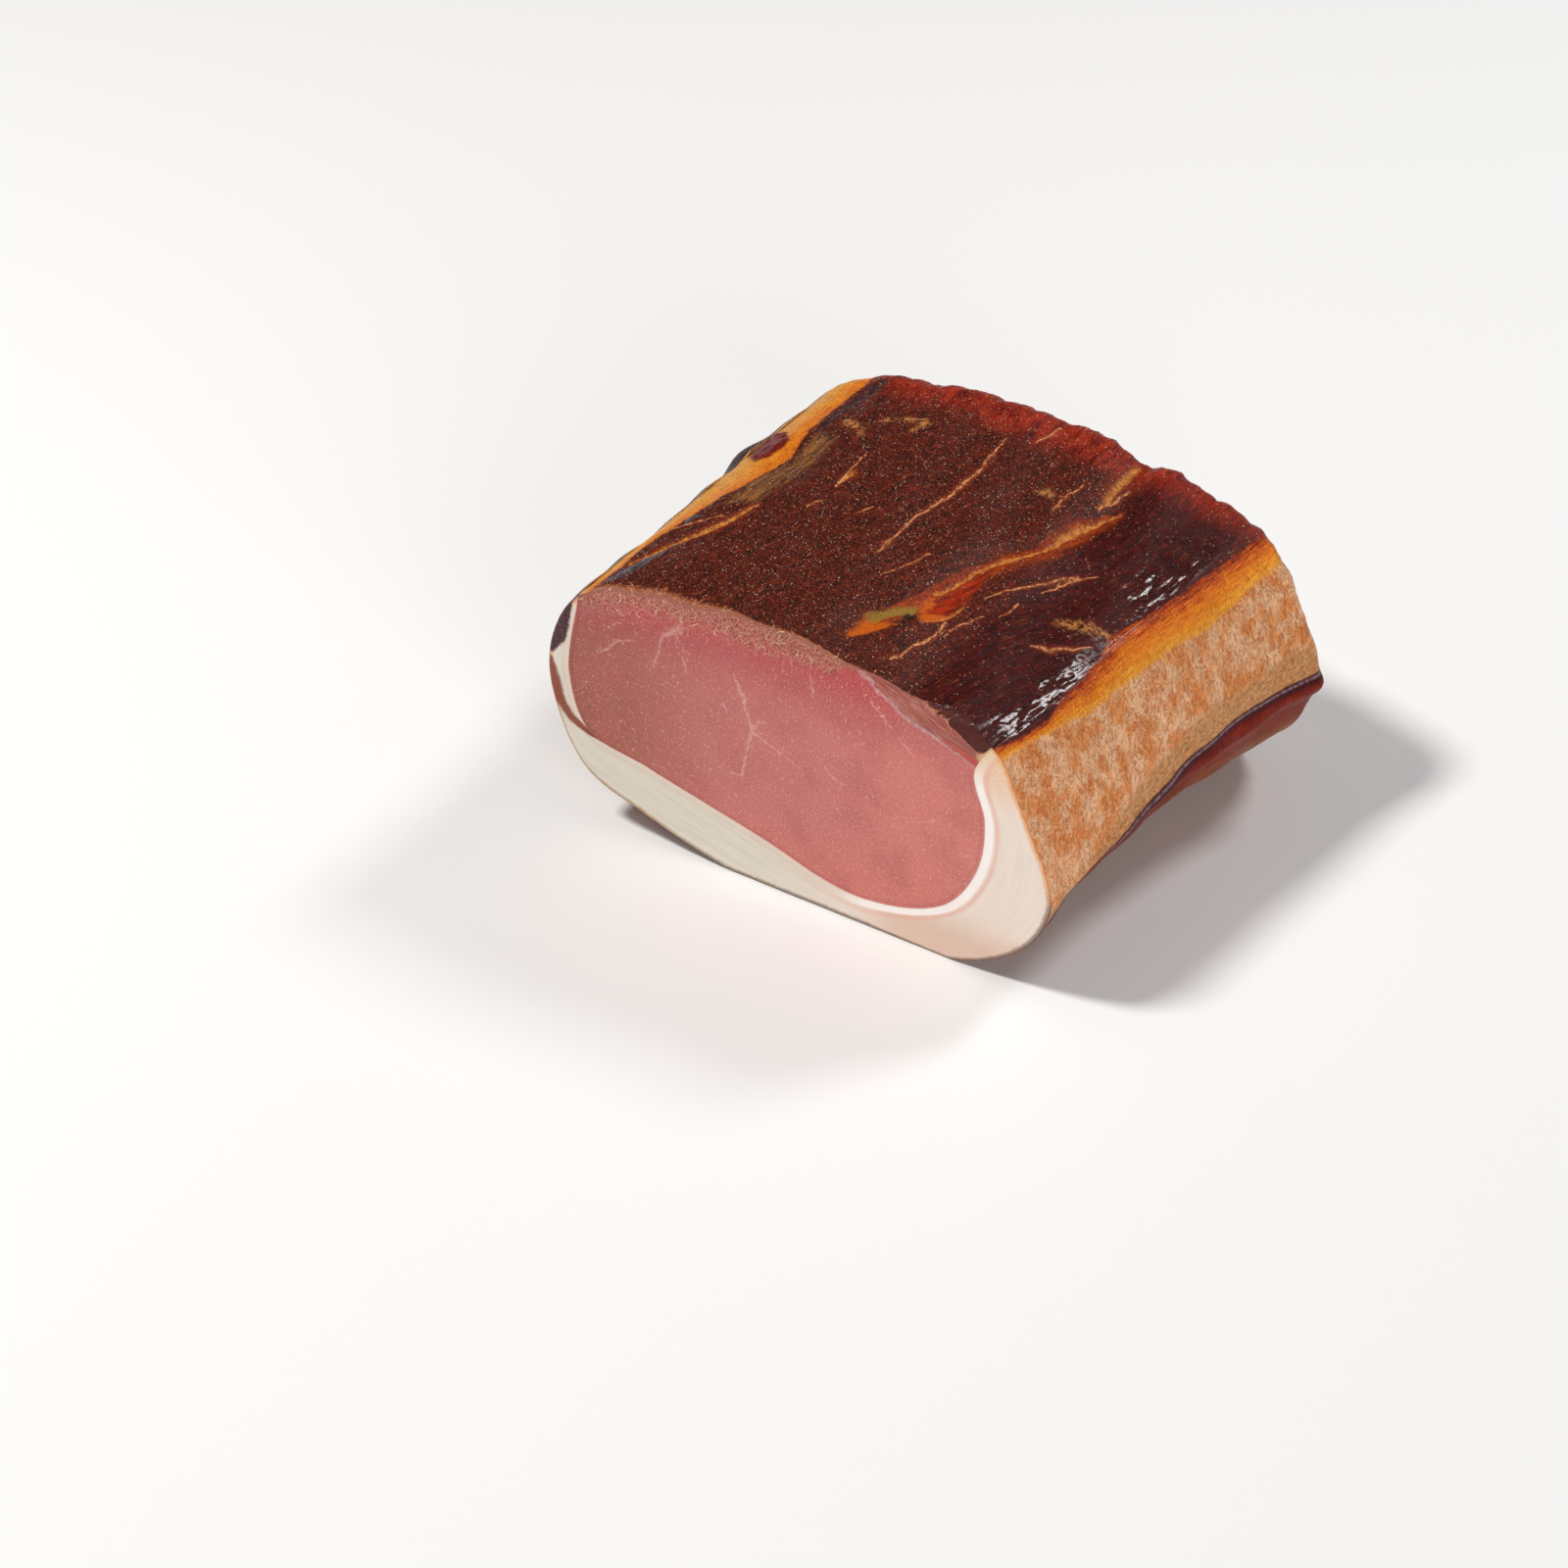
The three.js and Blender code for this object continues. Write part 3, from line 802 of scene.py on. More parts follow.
    def fine_relief(self, marks: dict[str, Array]) -> Array:
        """The relief too fine for the solids: meat fibres, grit, ledges and creped wrinkles.

        Args:
            marks: What each place of the surface is.

        Returns:
            How far each place stands out.
        """
        girth, along = marks["flow"], marks["along"]
        crust = fade(marks["crust"], -1.0, 1.5)
        behind = fade(marks["fray"], 0.8, 1.3)
        fibres = 0.16 * self.grain.rough(girth, along, 1.8, 9.0, 3)
        lobes = 0.24 * self.drift.rough(girth, along, 5.0, 17.0, 2)
        grit = 0.16 * self.grit.rough(girth, along, 1.2, 1.2, 2) * (1 - 0.7 * marks["wet"])
        folds = 0.30 * marks["wet"] * self.crease.rough(girth, along, 1.9, 5.5, 3)
        seams = -0.45 * np.clip(marks["seam"] + 0.3, 0, 1) + 0.12 * np.clip(marks["thread"], 0, 1)
        hollows = (-0.4 * fade(marks["orange"], -0.6, 0.8) - 0.6 * fade(marks["ember"], -0.6, 1.2)
                   - 0.8 * fade(marks["hollow"], -0.5, 0.8))
        ledges = 0.35 * np.clip(marks["gloss"], 0, 1) * (1 + self.crease.rough(girth, along, 1.6, 6.0, 2))
        top = crust * behind * (fibres + lobes + grit + folds + seams + hollows + ledges)
        frayed = 0.30 * (1 - behind) * crust * self.grit.rough(girth, along, 1.1, 1.1, 3)
        rind = fade(marks["rind"], -0.3, 0.6)
        strip = fade(marks["strip"], -1.5, 1.0) * (1 - rind)
        amber = fade(marks["amber"], -1.5, 0.8)
        creped = (1 - amber) * (1 - 0.75 * strip) * (1 - rind)
        uneven = self.drift.rough(girth, along, 4.0, 4.0, 3)
        wrinkles = creped * (0.26 * (marks["crease"] - 1) + 0.20 * uneven)
        lines = 0.08 * strip * self.grain.rough(girth, along, 1.2, 9.0, 3)
        band = (1 - crust) * amber * 0.18 * self.drift.rough(girth, along, 2.2, 9.0, 3)
        skin = rind * 0.12 * self.drift.rough(girth, along, 3.0, 9.0, 3)
        lump = 0.35 * fade(marks["lump"], -0.5, 1.0) * (1 + self.crease.rough(girth, along, 3.0, 4.0, 2))
        return top + frayed + wrinkles + lines + band + skin + lump

    def spread(self, places: Array, rings: Rings, start: Array | float) -> Spread:
        """Work out a stretch of the outer surface.

        Args:
            places: Outline places, in rising order.
            rings: The rings along the block.
            start: How far behind the cut the surface starts at each place.

        Returns:
            The points and their values.
        """
        flat = self.form.outline(places, rings.share)
        outward = self.form.outward(places, rings.share)
        along = blend(start, self.form.end_at(flat[..., 0]), rings.share[:, None])
        marks = self.marks(places, rings.share, along)
        fine = self.fine_relief(marks) * np.where(flat[..., 1] < 1.5, 0.0, 1.0)
        relief = self.form.main_relief(places, flat, along) + fine
        moved = flat + outward * relief[..., None]
        across = flat[..., 0]
        ragged = (0.5 * np.sin(0.23 * across + 0.6) + 0.3 * np.sin(0.71 * across)
                  + 0.2 * np.sin(1.3 * across)
                  + 0.25 * self.grit.rough(across, places[None] * 9, 2.0, 9.0, 2))
        return Spread(self.form.set_down(moved, rings, start, ragged), marks)


class Draft:
    """A closed mesh in the making: points, the values they carry, and triangles."""

    def __init__(self, names: tuple[str, ...]) -> None:
        """Start an empty mesh.

        Args:
            names: The values that its points carry.
        """
        self.names = names
        self.points: list[Array] = []
        self.values: list[Array] = []
        self.faces: list[Array] = []
        self.finishes: list[Array] = []
        self.count = 0

    def add(self, spread: Spread) -> Array:
        """Add points.

        Args:
            spread: The points and their values. A missing value is as UNMARKED says, or far outside.

        Returns:
            The numbers of the new points, in the shape of the spread.
        """
        shape = spread.points.shape[:-1]
        size = int(np.prod(shape))
        columns = [np.broadcast_to(spread.values.get(name, UNMARKED.get(name, FAR_OUTSIDE)),
                                   shape).reshape(size)
                   for name in self.names]
        self.points.append(spread.points.reshape(size, 3))
        self.values.append(np.stack(columns, axis=1))
        numbers = np.arange(self.count, self.count + size).reshape(shape)
        self.count += size
        return numbers

    def sheet(self, numbers: Array, finish: "Face") -> None:
        """Cover a grid of points.

        Args:
            numbers: The points, as (rows, columns).
            finish: Which of the mesh's finishes the faces have.
        """
        one, two = numbers[:-1, :-1].ravel(), numbers[:-1, 1:].ravel()
        three, four = numbers[1:, 1:].ravel(), numbers[1:, :-1].ravel()
        self.keep(np.concatenate([np.stack([one, two, three], 1), np.stack([one, three, four], 1)]), finish)

    def wall(self, numbers: Array) -> None:
        """Cover the side that faces the other piece: fresh inside, and smoked at the far end."""
        self.sheet(numbers[:1 - SMOKED_ROWS], Face.WALL)
        self.sheet(numbers[-SMOKED_ROWS:], Face.SKIN)

    def ladder(self, first: Array, second: Array, first_at: Array, second_at: Array, finish: "Face") -> None:
        """Cover the strip between two rows of points, which may differ in number.

        Args:
            first: One row.
            second: The other row, in the same direction.
            first_at: How far along each point of the first row is.
            second_at: How far along each point of the second row is.
            finish: Which of the mesh's finishes the faces have.
        """
        faces, here, there = [], 0, 0
        last_here, last_there = len(first) - 1, len(second) - 1
        while here < last_here or there < last_there:
            if there == last_there or (here < last_here and first_at[here + 1] <= second_at[there + 1]):
                faces.append((first[here], first[here + 1], second[there]))
                here += 1
            else:
                faces.append((first[here], second[there + 1], second[there]))
                there += 1
        self.keep(np.array(faces), finish)

    def cap(self, edge: Array, rings: Spread, finish: "Face", facing_end: bool) -> None:
        """Close an opening with rings that shrink to a middle point.

        Args:
            edge: The numbers of the points round the opening.
            rings: The rings, of which the first is the edge itself and the last is one point.
            finish: The faces' finish.
            facing_end: Whether the cap faces the smoked end.
        """
        between = self.add(rings.rows(slice(1, -1)))
        middle = self.add(rings.rows(slice(-1, None)).columns(slice(0, 1)))
        rows = np.concatenate([edge[None], between, np.full((1, len(edge)), middle.item())])
        loop = np.concatenate([rows, rows[:, :1]], axis=1)
        self.sheet(loop if facing_end else loop[::-1], finish)

    def keep(self, faces: Array, finish: "Face") -> None:
        """Keep triangles with their finish."""
        self.faces.append(faces)
        self.finishes.append(np.full(len(faces), finish.value))

    def build(self, name: str, materials: list[bpy.types.Material], place: "Placing") -> bpy.types.Object:
        """Make the mesh object.

        Args:
            name: The object's name.
            materials: Its finishes, in the order of their numbers.
            place: Where millimetres from the cut lie in the frame.

        Returns:
            The object.
        """
        faces = np.concatenate(self.faces).astype(np.int32)
        finishes = np.concatenate(self.finishes).astype(np.int32)
        points = place.points(np.concatenate(self.points))
        whole = (faces[:, 0] != faces[:, 1]) & (faces[:, 1] != faces[:, 2]) & (faces[:, 2] != faces[:, 0])
        faces, finishes = faces[whole], finishes[whole]
        mesh = bpy.data.meshes.new(name)
        mesh.vertices.add(len(points))
        mesh.vertices.foreach_set("co", points.astype(np.float32).ravel())
        mesh.loops.add(faces.size)
        mesh.loops.foreach_set("vertex_index", faces.ravel())
        mesh.polygons.add(len(faces))
        mesh.polygons.foreach_set("loop_start", np.arange(0, faces.size, 3, dtype=np.int32))
        mesh.polygons.foreach_set("loop_total", np.full(len(faces), 3, np.int32))
        mesh.polygons.foreach_set("material_index", finishes)
        mesh.polygons.foreach_set("use_smooth", np.ones(len(faces), bool))
        values = np.concatenate(self.values).astype(np.float32)
        for column, value_name in enumerate(self.names):
            attribute = mesh.attributes.new(value_name, "FLOAT", "POINT")
            attribute.data.foreach_set("value", np.ascontiguousarray(values[:, column]))
        for material in materials:
            mesh.materials.append(material)
        mesh.update(calc_edges=True)
        mesh.validate(verbose=False)
        self.sharpen(mesh)
        made = bpy.data.objects.new(name, mesh)
        bpy.context.scene.collection.objects.link(made)
        return made

    @staticmethod
    def sharpen(mesh: bpy.types.Mesh) -> None:
        """Mark the edges where two finishes meet as sharp, so that each keeps its own shading.

        Args:
            mesh: The mesh.
        """
        mesh_edges = len(mesh.edges)
        loop_edge = np.zeros(len(mesh.loops), np.int32)
        mesh.loops.foreach_get("edge_index", loop_edge)
        finish = np.zeros(len(mesh.polygons), np.int32)
        mesh.polygons.foreach_get("material_index", finish)
        per_loop = np.repeat(finish, 3)
        low = np.full(mesh_edges, 99)
        high = np.full(mesh_edges, -1)
        np.minimum.at(low, loop_edge, per_loop)
        np.maximum.at(high, loop_edge, per_loop)
        attribute = mesh.attributes.get("sharp_edge") or mesh.attributes.new("sharp_edge", "BOOLEAN", "EDGE")
        attribute.data.foreach_set("value", low != high)


@dataclass(frozen=True)
class Placing:
    """Where millimetres from the cut lie in the frame of the solids."""

    shift: tuple[float, float, float]

    @classmethod
    def fitted(cls, surface: SmokedSurface) -> "Placing":
        """Find the shift that sets the form's box on the solids' box.

        Args:
            surface: The block's outer surface.

        Returns:
            The placing.
        """
        form = surface.form
        rings = form.rings(22, 4)
        places = np.linspace(0, ROUND, 40 * ROUND)
        flat = form.outline(places, rings.share)
        along = form.end_at(flat[..., 0]) * rings.share[:, None]
        relief = form.main_relief(places, flat, along)[..., None]
        points = form.set_down(flat + relief * form.outward(places, rings.share), rings)
        low, high = CAD_BOX
        middle = (points[..., 0].min() + points[..., 0].max()) / 2
        return cls(((low.x + high.x) / 2 - middle * MM, low.y, low.z))

    def points(self, points: Array) -> Array:
        """Points in metres in the frame."""
        return points * MM + np.array(self.shift)


class Face(Enum):
    """The finishes of a mesh, by their number. The walls between the pieces are dressed like the cut."""

    SKIN = 0
    CUT = 1
    WALL = 2


SKIN_VALUES = ("girth", "along", "flow", "crust", "amber", "rind", "strip", "seam", "thread", "thread_side",
               "tan",
               "orange", "ember", "olive", "hollow", "gloss", "dusk", "fibrous", "lump", "fray", "crease",
               "wet", "lobe", "glow")
LEAN_VALUES = SKIN_VALUES + ("vein", "vein_side", "fascia", "fascia_side", "muscle", "streak", "pale", "rim")
FAT_VALUES = SKIN_VALUES + ("depth", "cover", "fold", "dark", "across", "height")
# Fray deep in the fresh cut and deep in the crust
FRESH_FRAY, CRUST_FRAY = -3.0, 3.0
# What a point carries where its surface says nothing of a value
FAR_OUTSIDE = -6.0
UNMARKED = {"fray": CRUST_FRAY, "crease": 1.0, "crust": 6.0, "wet": 0.0, "lobe": 0.0}


@dataclass(frozen=True)
class CutSurface:
    """The fresh cut: its slight unevenness and what shows on it."""

    form: LoinForm
    ripple: Lattice = Lattice(21)
    fibre: Lattice = Lattice(22)
    rounding: float = 0.45
    rounded_over: float = 0.8

    def unevenness(self, across: Array, height: Array) -> Array:
        """How far the cut's surface lies behind the plane of the knife."""
        return 0.14 + 0.14 * self.ripple.rough(across, height, 9.0, 7.0, 3)

    def fray(self, across: Array, height: Array, top: Array) -> Array:
        """How far a place of the cut is into the frayed margin: above 0 in it, above 1 in the crust.

        Args:
            across: Place across.
            height: Height.
            top: Height of the cut's top edge there.

        Returns:
            The values.
        """
        low = follow(MARGIN_LOW_EDGE, across) + 1.1 * self.fibre.rough(across, height, 2.4, 3.0, 3)
        high = np.minimum(top, follow(CRUST_LOW_EDGE, across))
        return 0.5 * follow(TORN_TO_CRUST, across) * (height - low) / np.maximum(high - low, 0.6)

    def lean_marks(self, across: Array, height: Array) -> dict[str, Array]:
        """What each place of the lean's cut is, by its place across and its height.

        Args:
            across: Place across.
            height: Height.

        Returns:
            The values that the finishes read.
        """
        moved = (across + 0.7 * self.fibre.rough(across, height, 2.6, 2.6, 3),
                 height + 0.7 * self.ripple.rough(across, height, 2.6, 2.6, 3))
        vein, vein_side = nearest(CUT_VEINS, *moved)
        fascia, fascia_side = nearest(FASCIA, *moved)
        return {
            "vein": vein,
            "vein_side": vein_side,
            "fascia": fascia,
            "fascia_side": fascia_side,
            "muscle": CAP_MUSCLE.field(across, height),
            "streak": RED_STREAK.field(*moved),
            "pale": PALE_CORNER.field(*moved),
        }

    def fat_marks(self, across: Array, height: Array) -> dict[str, Array]:
        """What each place of the fat's cut is, by its place across and its height.

        Args:
            across: Place across.
            height: Height.

        Returns:
            The values that the finishes read.
        """
        return {
            "fold": LEFT_FOLD.field(across, height),
            "dark": DARK_LUMP.field(across, height),
            "across": across,
            "height": height,
        }


@dataclass
class LeanEye:
    """The lean: the pink cut face, the dark smoked top and the smoked end."""

    form: LoinForm
    surface: SmokedSurface
    cut: CutSurface
    top_steps: int = 212
    body_rings: int = 232
    roll_rings: int = 10
    wall_rings: int = 9
    cut_rings: int = 62
    end_rings: int = 26
    fibre_rows: int = 12
    crown: float = 66.0

    def build(self, place: Placing, skin: bpy.types.Material, cut: bpy.types.Material) -> bpy.types.Object:
        """Make the lean.

        Args:
            place: Where it lies.
            skin: Finish of the smoked outside.
            cut: Finish of the fresh cut.

        Returns:
            The piece.
        """
        draft = Draft(LEAN_VALUES)
        rings = self.form.rings(self.body_rings, self.roll_rings)
        few = rings.pick(rings.spaced(self.wall_rings))
        top_spread, wall_spread = self.top(rings), self.wall(few)
        top, wall = draft.add(top_spread), draft.add(wall_spread)
        draft.sheet(top, Face.SKIN)
        draft.wall(wall)
        draft.ladder(wall[:, 0], top[:, -1], few.share, rings.share, Face.WALL)
        draft.ladder(top[:, 0], wall[:, -1], rings.share, few.share, Face.WALL)
        first, last = (np.concatenate([top_spread.points[end], wall_spread.points[end]]) for end in (0, -1))
        draft.cap(np.concatenate([top[0], wall[0]]), self.cut_face(first), Face.CUT, facing_end=False)
        draft.cap(np.concatenate([top[-1], wall[-1]]), self.smoked_end(last), Face.SKIN, facing_end=True)
        return draft.build("lean_eye", [skin, cut, cut], place)

    def top(self, rings: Rings) -> Spread:
        """The smoked top from the left shoulder to the right one.

        Args:
            rings: The rings along the block.

        Returns:
            Its points and their values.
        """
        places = np.linspace(0, RIGHT_SHOULDER, self.top_steps + 1)
        spread = self.surface.spread(places, rings, self.form.bevel(places))
        spread.values.update(self.cut.lean_marks(spread.points[..., 0], spread.points[..., 2]))
        return spread

    def wall(self, rings: Rings) -> Spread:
        """The side that faces the fat.

        Args:
            rings: The rings along the block.

        Returns:
            Its points and their values.
        """
        turns = self.form.band_lines()[0][1:-1]
        points = self.form.set_down(self.form.seam(turns, rings.share), rings)
        points[0, :, 1] = self.cut.unevenness(points[0, :, 0], points[0, :, 2])
        values = self.cut.lean_marks(points[..., 0], points[..., 2])
        along = points[..., 2].copy()
        along[-1] = self.past_end(along[-1])
        fray = np.full(points.shape[:2], FRESH_FRAY)
        fray[-SMOKED_ROWS:] = CRUST_FRAY
        return Spread(points, values | {
            "fray": fray, "crust": np.full(fray.shape, 0.8), "girth": points[..., 0], "along": along,
        })

    def past_end(self, height: Array) -> Array:
        """How far along the map a place on the smoked end is, by its height."""
        return self.form.length + self.crown - height

    def cut_face(self, edge: Array) -> Spread:
        """The fresh cut, as rings that shrink from the edge to the middle.

        Args:
            edge: The points round the cut.

        Returns:
            Its points and their values.
        """
        middle = self.form.lean_middle
        reach = np.hypot(edge[:, 0] - middle[0], edge[:, 2] - middle[1])
        share = (np.arange(self.cut_rings + 1) / self.cut_rings)[:, None]
        across, height = blend(edge[:, 0], middle[0], share), blend(edge[:, 2], middle[1], share)
        top_edge = edge[:self.top_steps + 1]
        fray = self.cut.fray(across, height, np.interp(across, top_edge[:, 0], top_edge[:, 2]))
        on_top = np.where(np.arange(len(edge)) <= self.top_steps, 1.0, 0.0)
        margin = np.maximum(0, 1 - share * reach / self.form.cut_margin) * on_top
        rough = 0.5 * fade(fray, 0.0, 0.3) * self.cut.fibre.rough(across, height, 1.2, 1.7, 3)
        along = self.cut.unevenness(across, height) * (1 - margin) + edge[:, 1] * margin ** 2 + rough
        values = self.cut.lean_marks(across, height)
        return Spread(np.stack([across, along, height], axis=-1), values | {
            "fray": fray, "girth": across, "along": height, "rim": share * reach,
        })

    def smoked_end(self, edge: Array) -> Spread:
        """The smoked end, as rings that shrink from the edge to the middle.

        Args:
            edge: The points round the end.

        Returns:
            Its points and their values.
        """
        middle = self.form.lean_middle
        share = (np.arange(self.end_rings + 1) / self.end_rings)[:, None]
        across, height = blend(edge[:, 0], middle[0], share), blend(edge[:, 2], middle[1], share)
        smooth = edge[:, 1] - self.form.end_at(edge[:, 0])
        drift = self.surface.drift
        waves = (0.9 * drift.rough(across, height, 11.0, 7.0, 3)
                 + 0.35 * drift.rough(across, height, 3.0, 2.0, 3))
        along = (self.form.end_at(across) + smooth * (1 - share) ** 4
                 + self.form.end_crown * (1 - (1 - share) ** 2) + np.minimum(1, 6 * share) * waves)
        reach = np.hypot(edge[:, 0] - middle[0], edge[:, 2] - middle[1])
        return Spread(np.stack([across, along, height], axis=-1), {
            "crust": 0.4 + share * reach, "girth": across, "along": self.past_end(height),
        })

    def strewn(self) -> tuple[Spread, ...]:
        """The smoked top, its far end and the upper part of the cut.

        Returns:
            Each of them, facing outward, with how densely grains and fibres lie there.
        """
        rings = self.form.rings(self.body_rings, self.roll_rings)
        top = self.top(rings)
        marks = top.values
        crust = fade(marks["crust"], -0.5, 0.8) * fade(marks["fray"], 0.8, 1.2)
        clear = (1 - fade(marks["seam"], -0.8, 0.2)) * (1 - fade(marks["orange"], -0.6, 0.4))
        grains = crust * clear * (1 - 0.65 * marks["lobe"])
        top_fibres = fade(marks["crust"], 0.0, 1.0) * (1 - fade(marks["fray"], 0.6, 0.95))
        top_fibres = top_fibres * self.clumps(marks["girth"], marks["along"])
        wall = self.wall(rings.pick(np.array([0, -1])))
        end = self.smoked_end(np.concatenate([top.points[-1], wall.points[-1]]))
        none = 0 * end.points[..., 0]
        face = self.cut_face(np.concatenate([top.points[0], wall.points[0]]))
        face = face.rows(slice(self.fibre_rows, None, -1)).columns(slice(0, self.top_steps + 1))
        fray = face.values["fray"]
        face_fibres = fade(fray, -0.2, 0.2) * (1 - fade(fray, 0.6, 0.9))
        face_fibres = face_fibres * self.clumps(face.points[..., 0], face.points[..., 2])
        return (Spread(top.points, {"grains": grains, "fibres": top_fibres}),
                Spread(end.points, {"grains": none + 0.8, "fibres": none}),
                Spread(face.points, {"grains": 0 * face_fibres, "fibres": face_fibres}))

    def clumps(self, across: Array, along: Array) -> Array:
        """How the fibres gather in clumps, from 0 between them to 1."""
        gathered = fade(self.cut.fibre.rough(across, along, 2.0, 2.0, 3), -0.35, 0.3)
        return gathered * (0.35 + 0.65 * fade(across, -42, -24))


@dataclass
class FatCap:
    """The fat with its rind: the creamy cut band, the creped side and the rind's lip."""

    form: LoinForm
    surface: SmokedSurface
    cut: CutSurface
    body_rings: int = 270
    roll_rings: int = 10
    wall_rings: int = 9
    cut_rows: int = 30
    end_rows: int = 20
    gap: float = 0.03
    trim: float = 0.004

    def build(self, place: Placing, skin: bpy.types.Material, cut: bpy.types.Material) -> bpy.types.Object:
        """Make the fat.

        Args:
            place: Where it lies.
            skin: Finish of the smoked outside.
            cut: Finish of the fresh cut.

        Returns:
            The piece.
        """
        draft = Draft(FAT_VALUES)
        rings = self.form.rings(self.body_rings, self.roll_rings)
        turns, faces = self.form.band_lines()
        places = np.clip(faces, RIGHT_SHOULDER + self.trim, ROUND - self.trim)
        past_horn = np.minimum(places - RIGHT_SHOULDER, ROUND - places)
        start = self.cut.rounding * fade(past_horn, 0.0, 0.3)
        outer_spread = self.surface.spread(places, rings, start)
        few = rings.pick(rings.spaced(self.wall_rings))
        points = self.form.set_down(self.form.seam(turns[1:-1], few.share, self.gap), few)
        points[0, :, 1] = self.cut.unevenness(points[0, :, 0], points[0, :, 2])
        width = np.linalg.norm(outer_spread.points[0, 1:-1] - points[0], axis=-1)
        inner_values = self.cut.fat_marks(points[..., 0], points[..., 2])
        inner_spread = Spread(points, inner_values | {
            "depth": 0.0 * points[..., 0], "cover": 0.0 * points[..., 0] + width,
            "girth": points[..., 0].copy(), "along": points[..., 2].copy(),
        })
        rim = outer_spread.values["along"][-1, 1:-1]
        end_width = np.linalg.norm(outer_spread.points[-1, 1:-1] - points[-1], axis=-1)
        inner_spread.values["along"][-1] = rim + end_width
        outer_across, outer_height = outer_spread.points[..., 0], outer_spread.points[..., 2]
        outer_spread.values.update(self.cut.fat_marks(outer_across, outer_height))
        outer_spread.values.update({
            "depth": 0.0 * outer_across + np.concatenate([[0.0], width, [0.0]]),
            "cover": 0.0 * outer_across,
        })
        outer, inner = draft.add(outer_spread), draft.add(inner_spread)
        draft.sheet(outer, Face.SKIN)
        draft.wall(inner[:, ::-1])
        draft.ladder(inner[:, -1], outer[:, -1], few.share, rings.share, Face.SKIN)
        draft.ladder(outer[:, 0], inner[:, 0], rings.share, few.share, Face.SKIN)
        for end, rows, finish in ((0, self.cut_rows, Face.CUT), (-1, self.end_rows, Face.SKIN)):
            self.band(draft, outer[end], inner[end], outer_spread.points[end], points[end], rows, finish,
                      rim)
        return draft.build("fat_cap_rind", [skin, cut, cut], place)

    def band(self, draft: Draft, outer: Array, inner: Array, outer_points: Array, inner_points: Array,
             rows: int, finish: Face, rim: Array) -> None:
        """Add the band between the seam and the outside, at the cut or at the smoked end.

        Args:
            draft: The mesh.
            outer: The numbers of the points along the outside.
            inner: The numbers of the points along the seam, without the two horns.
            outer_points: The points along the outside.
            inner_points: The points along the seam.
            rows: How many rows of faces cross the band.
            finish: The faces' finish.
            rim: How far along the map each point along the outside of the smoked end is.
        """
        share = (np.arange(1, rows) / rows)[:, None]
        start, stop = inner_points[None], outer_points[None, 1:-1]
        points = blend(start, stop, share[..., None])
        width = np.linalg.norm(stop - start, axis=-1)
        cover = (1 - share) * width
        values = self.cut.fat_marks(points[..., 0], points[..., 2])
        if finish is Face.CUT:
            flat = self.cut.unevenness(points[..., 0], points[..., 2])
            near = np.clip(1 - cover / self.cut.rounded_over, 0, 1)
            points[..., 1] = blend(flat, outer_points[1:-1, 1], near ** 2)
            values |= {"girth": points[..., 0], "along": points[..., 2]}
        else:
            uneven = 0.8 * self.surface.drift.rough(points[..., 0], points[..., 2], 6.0, 5.0, 3)
            points[..., 1] += np.sin(math.pi * share) * (0.4 + uneven)
            values |= {"girth": points[..., 0], "along": rim + cover,
                       "crust": cover - width + 0.8, "amber": cover - width + 5.0, "crease": 0.8 + uneven}
        added = draft.add(Spread(points, values | {"depth": share * width, "cover": cover}))
        middle = np.concatenate([inner[None], added, outer[None, 1:-1]])
        first, last = np.full((rows + 1, 1), outer[0]), np.full((rows + 1, 1), outer[-1])
        grid = np.concatenate([first, middle, last], axis=1)
        draft.sheet(grid if finish is Face.CUT else grid[::-1], finish)


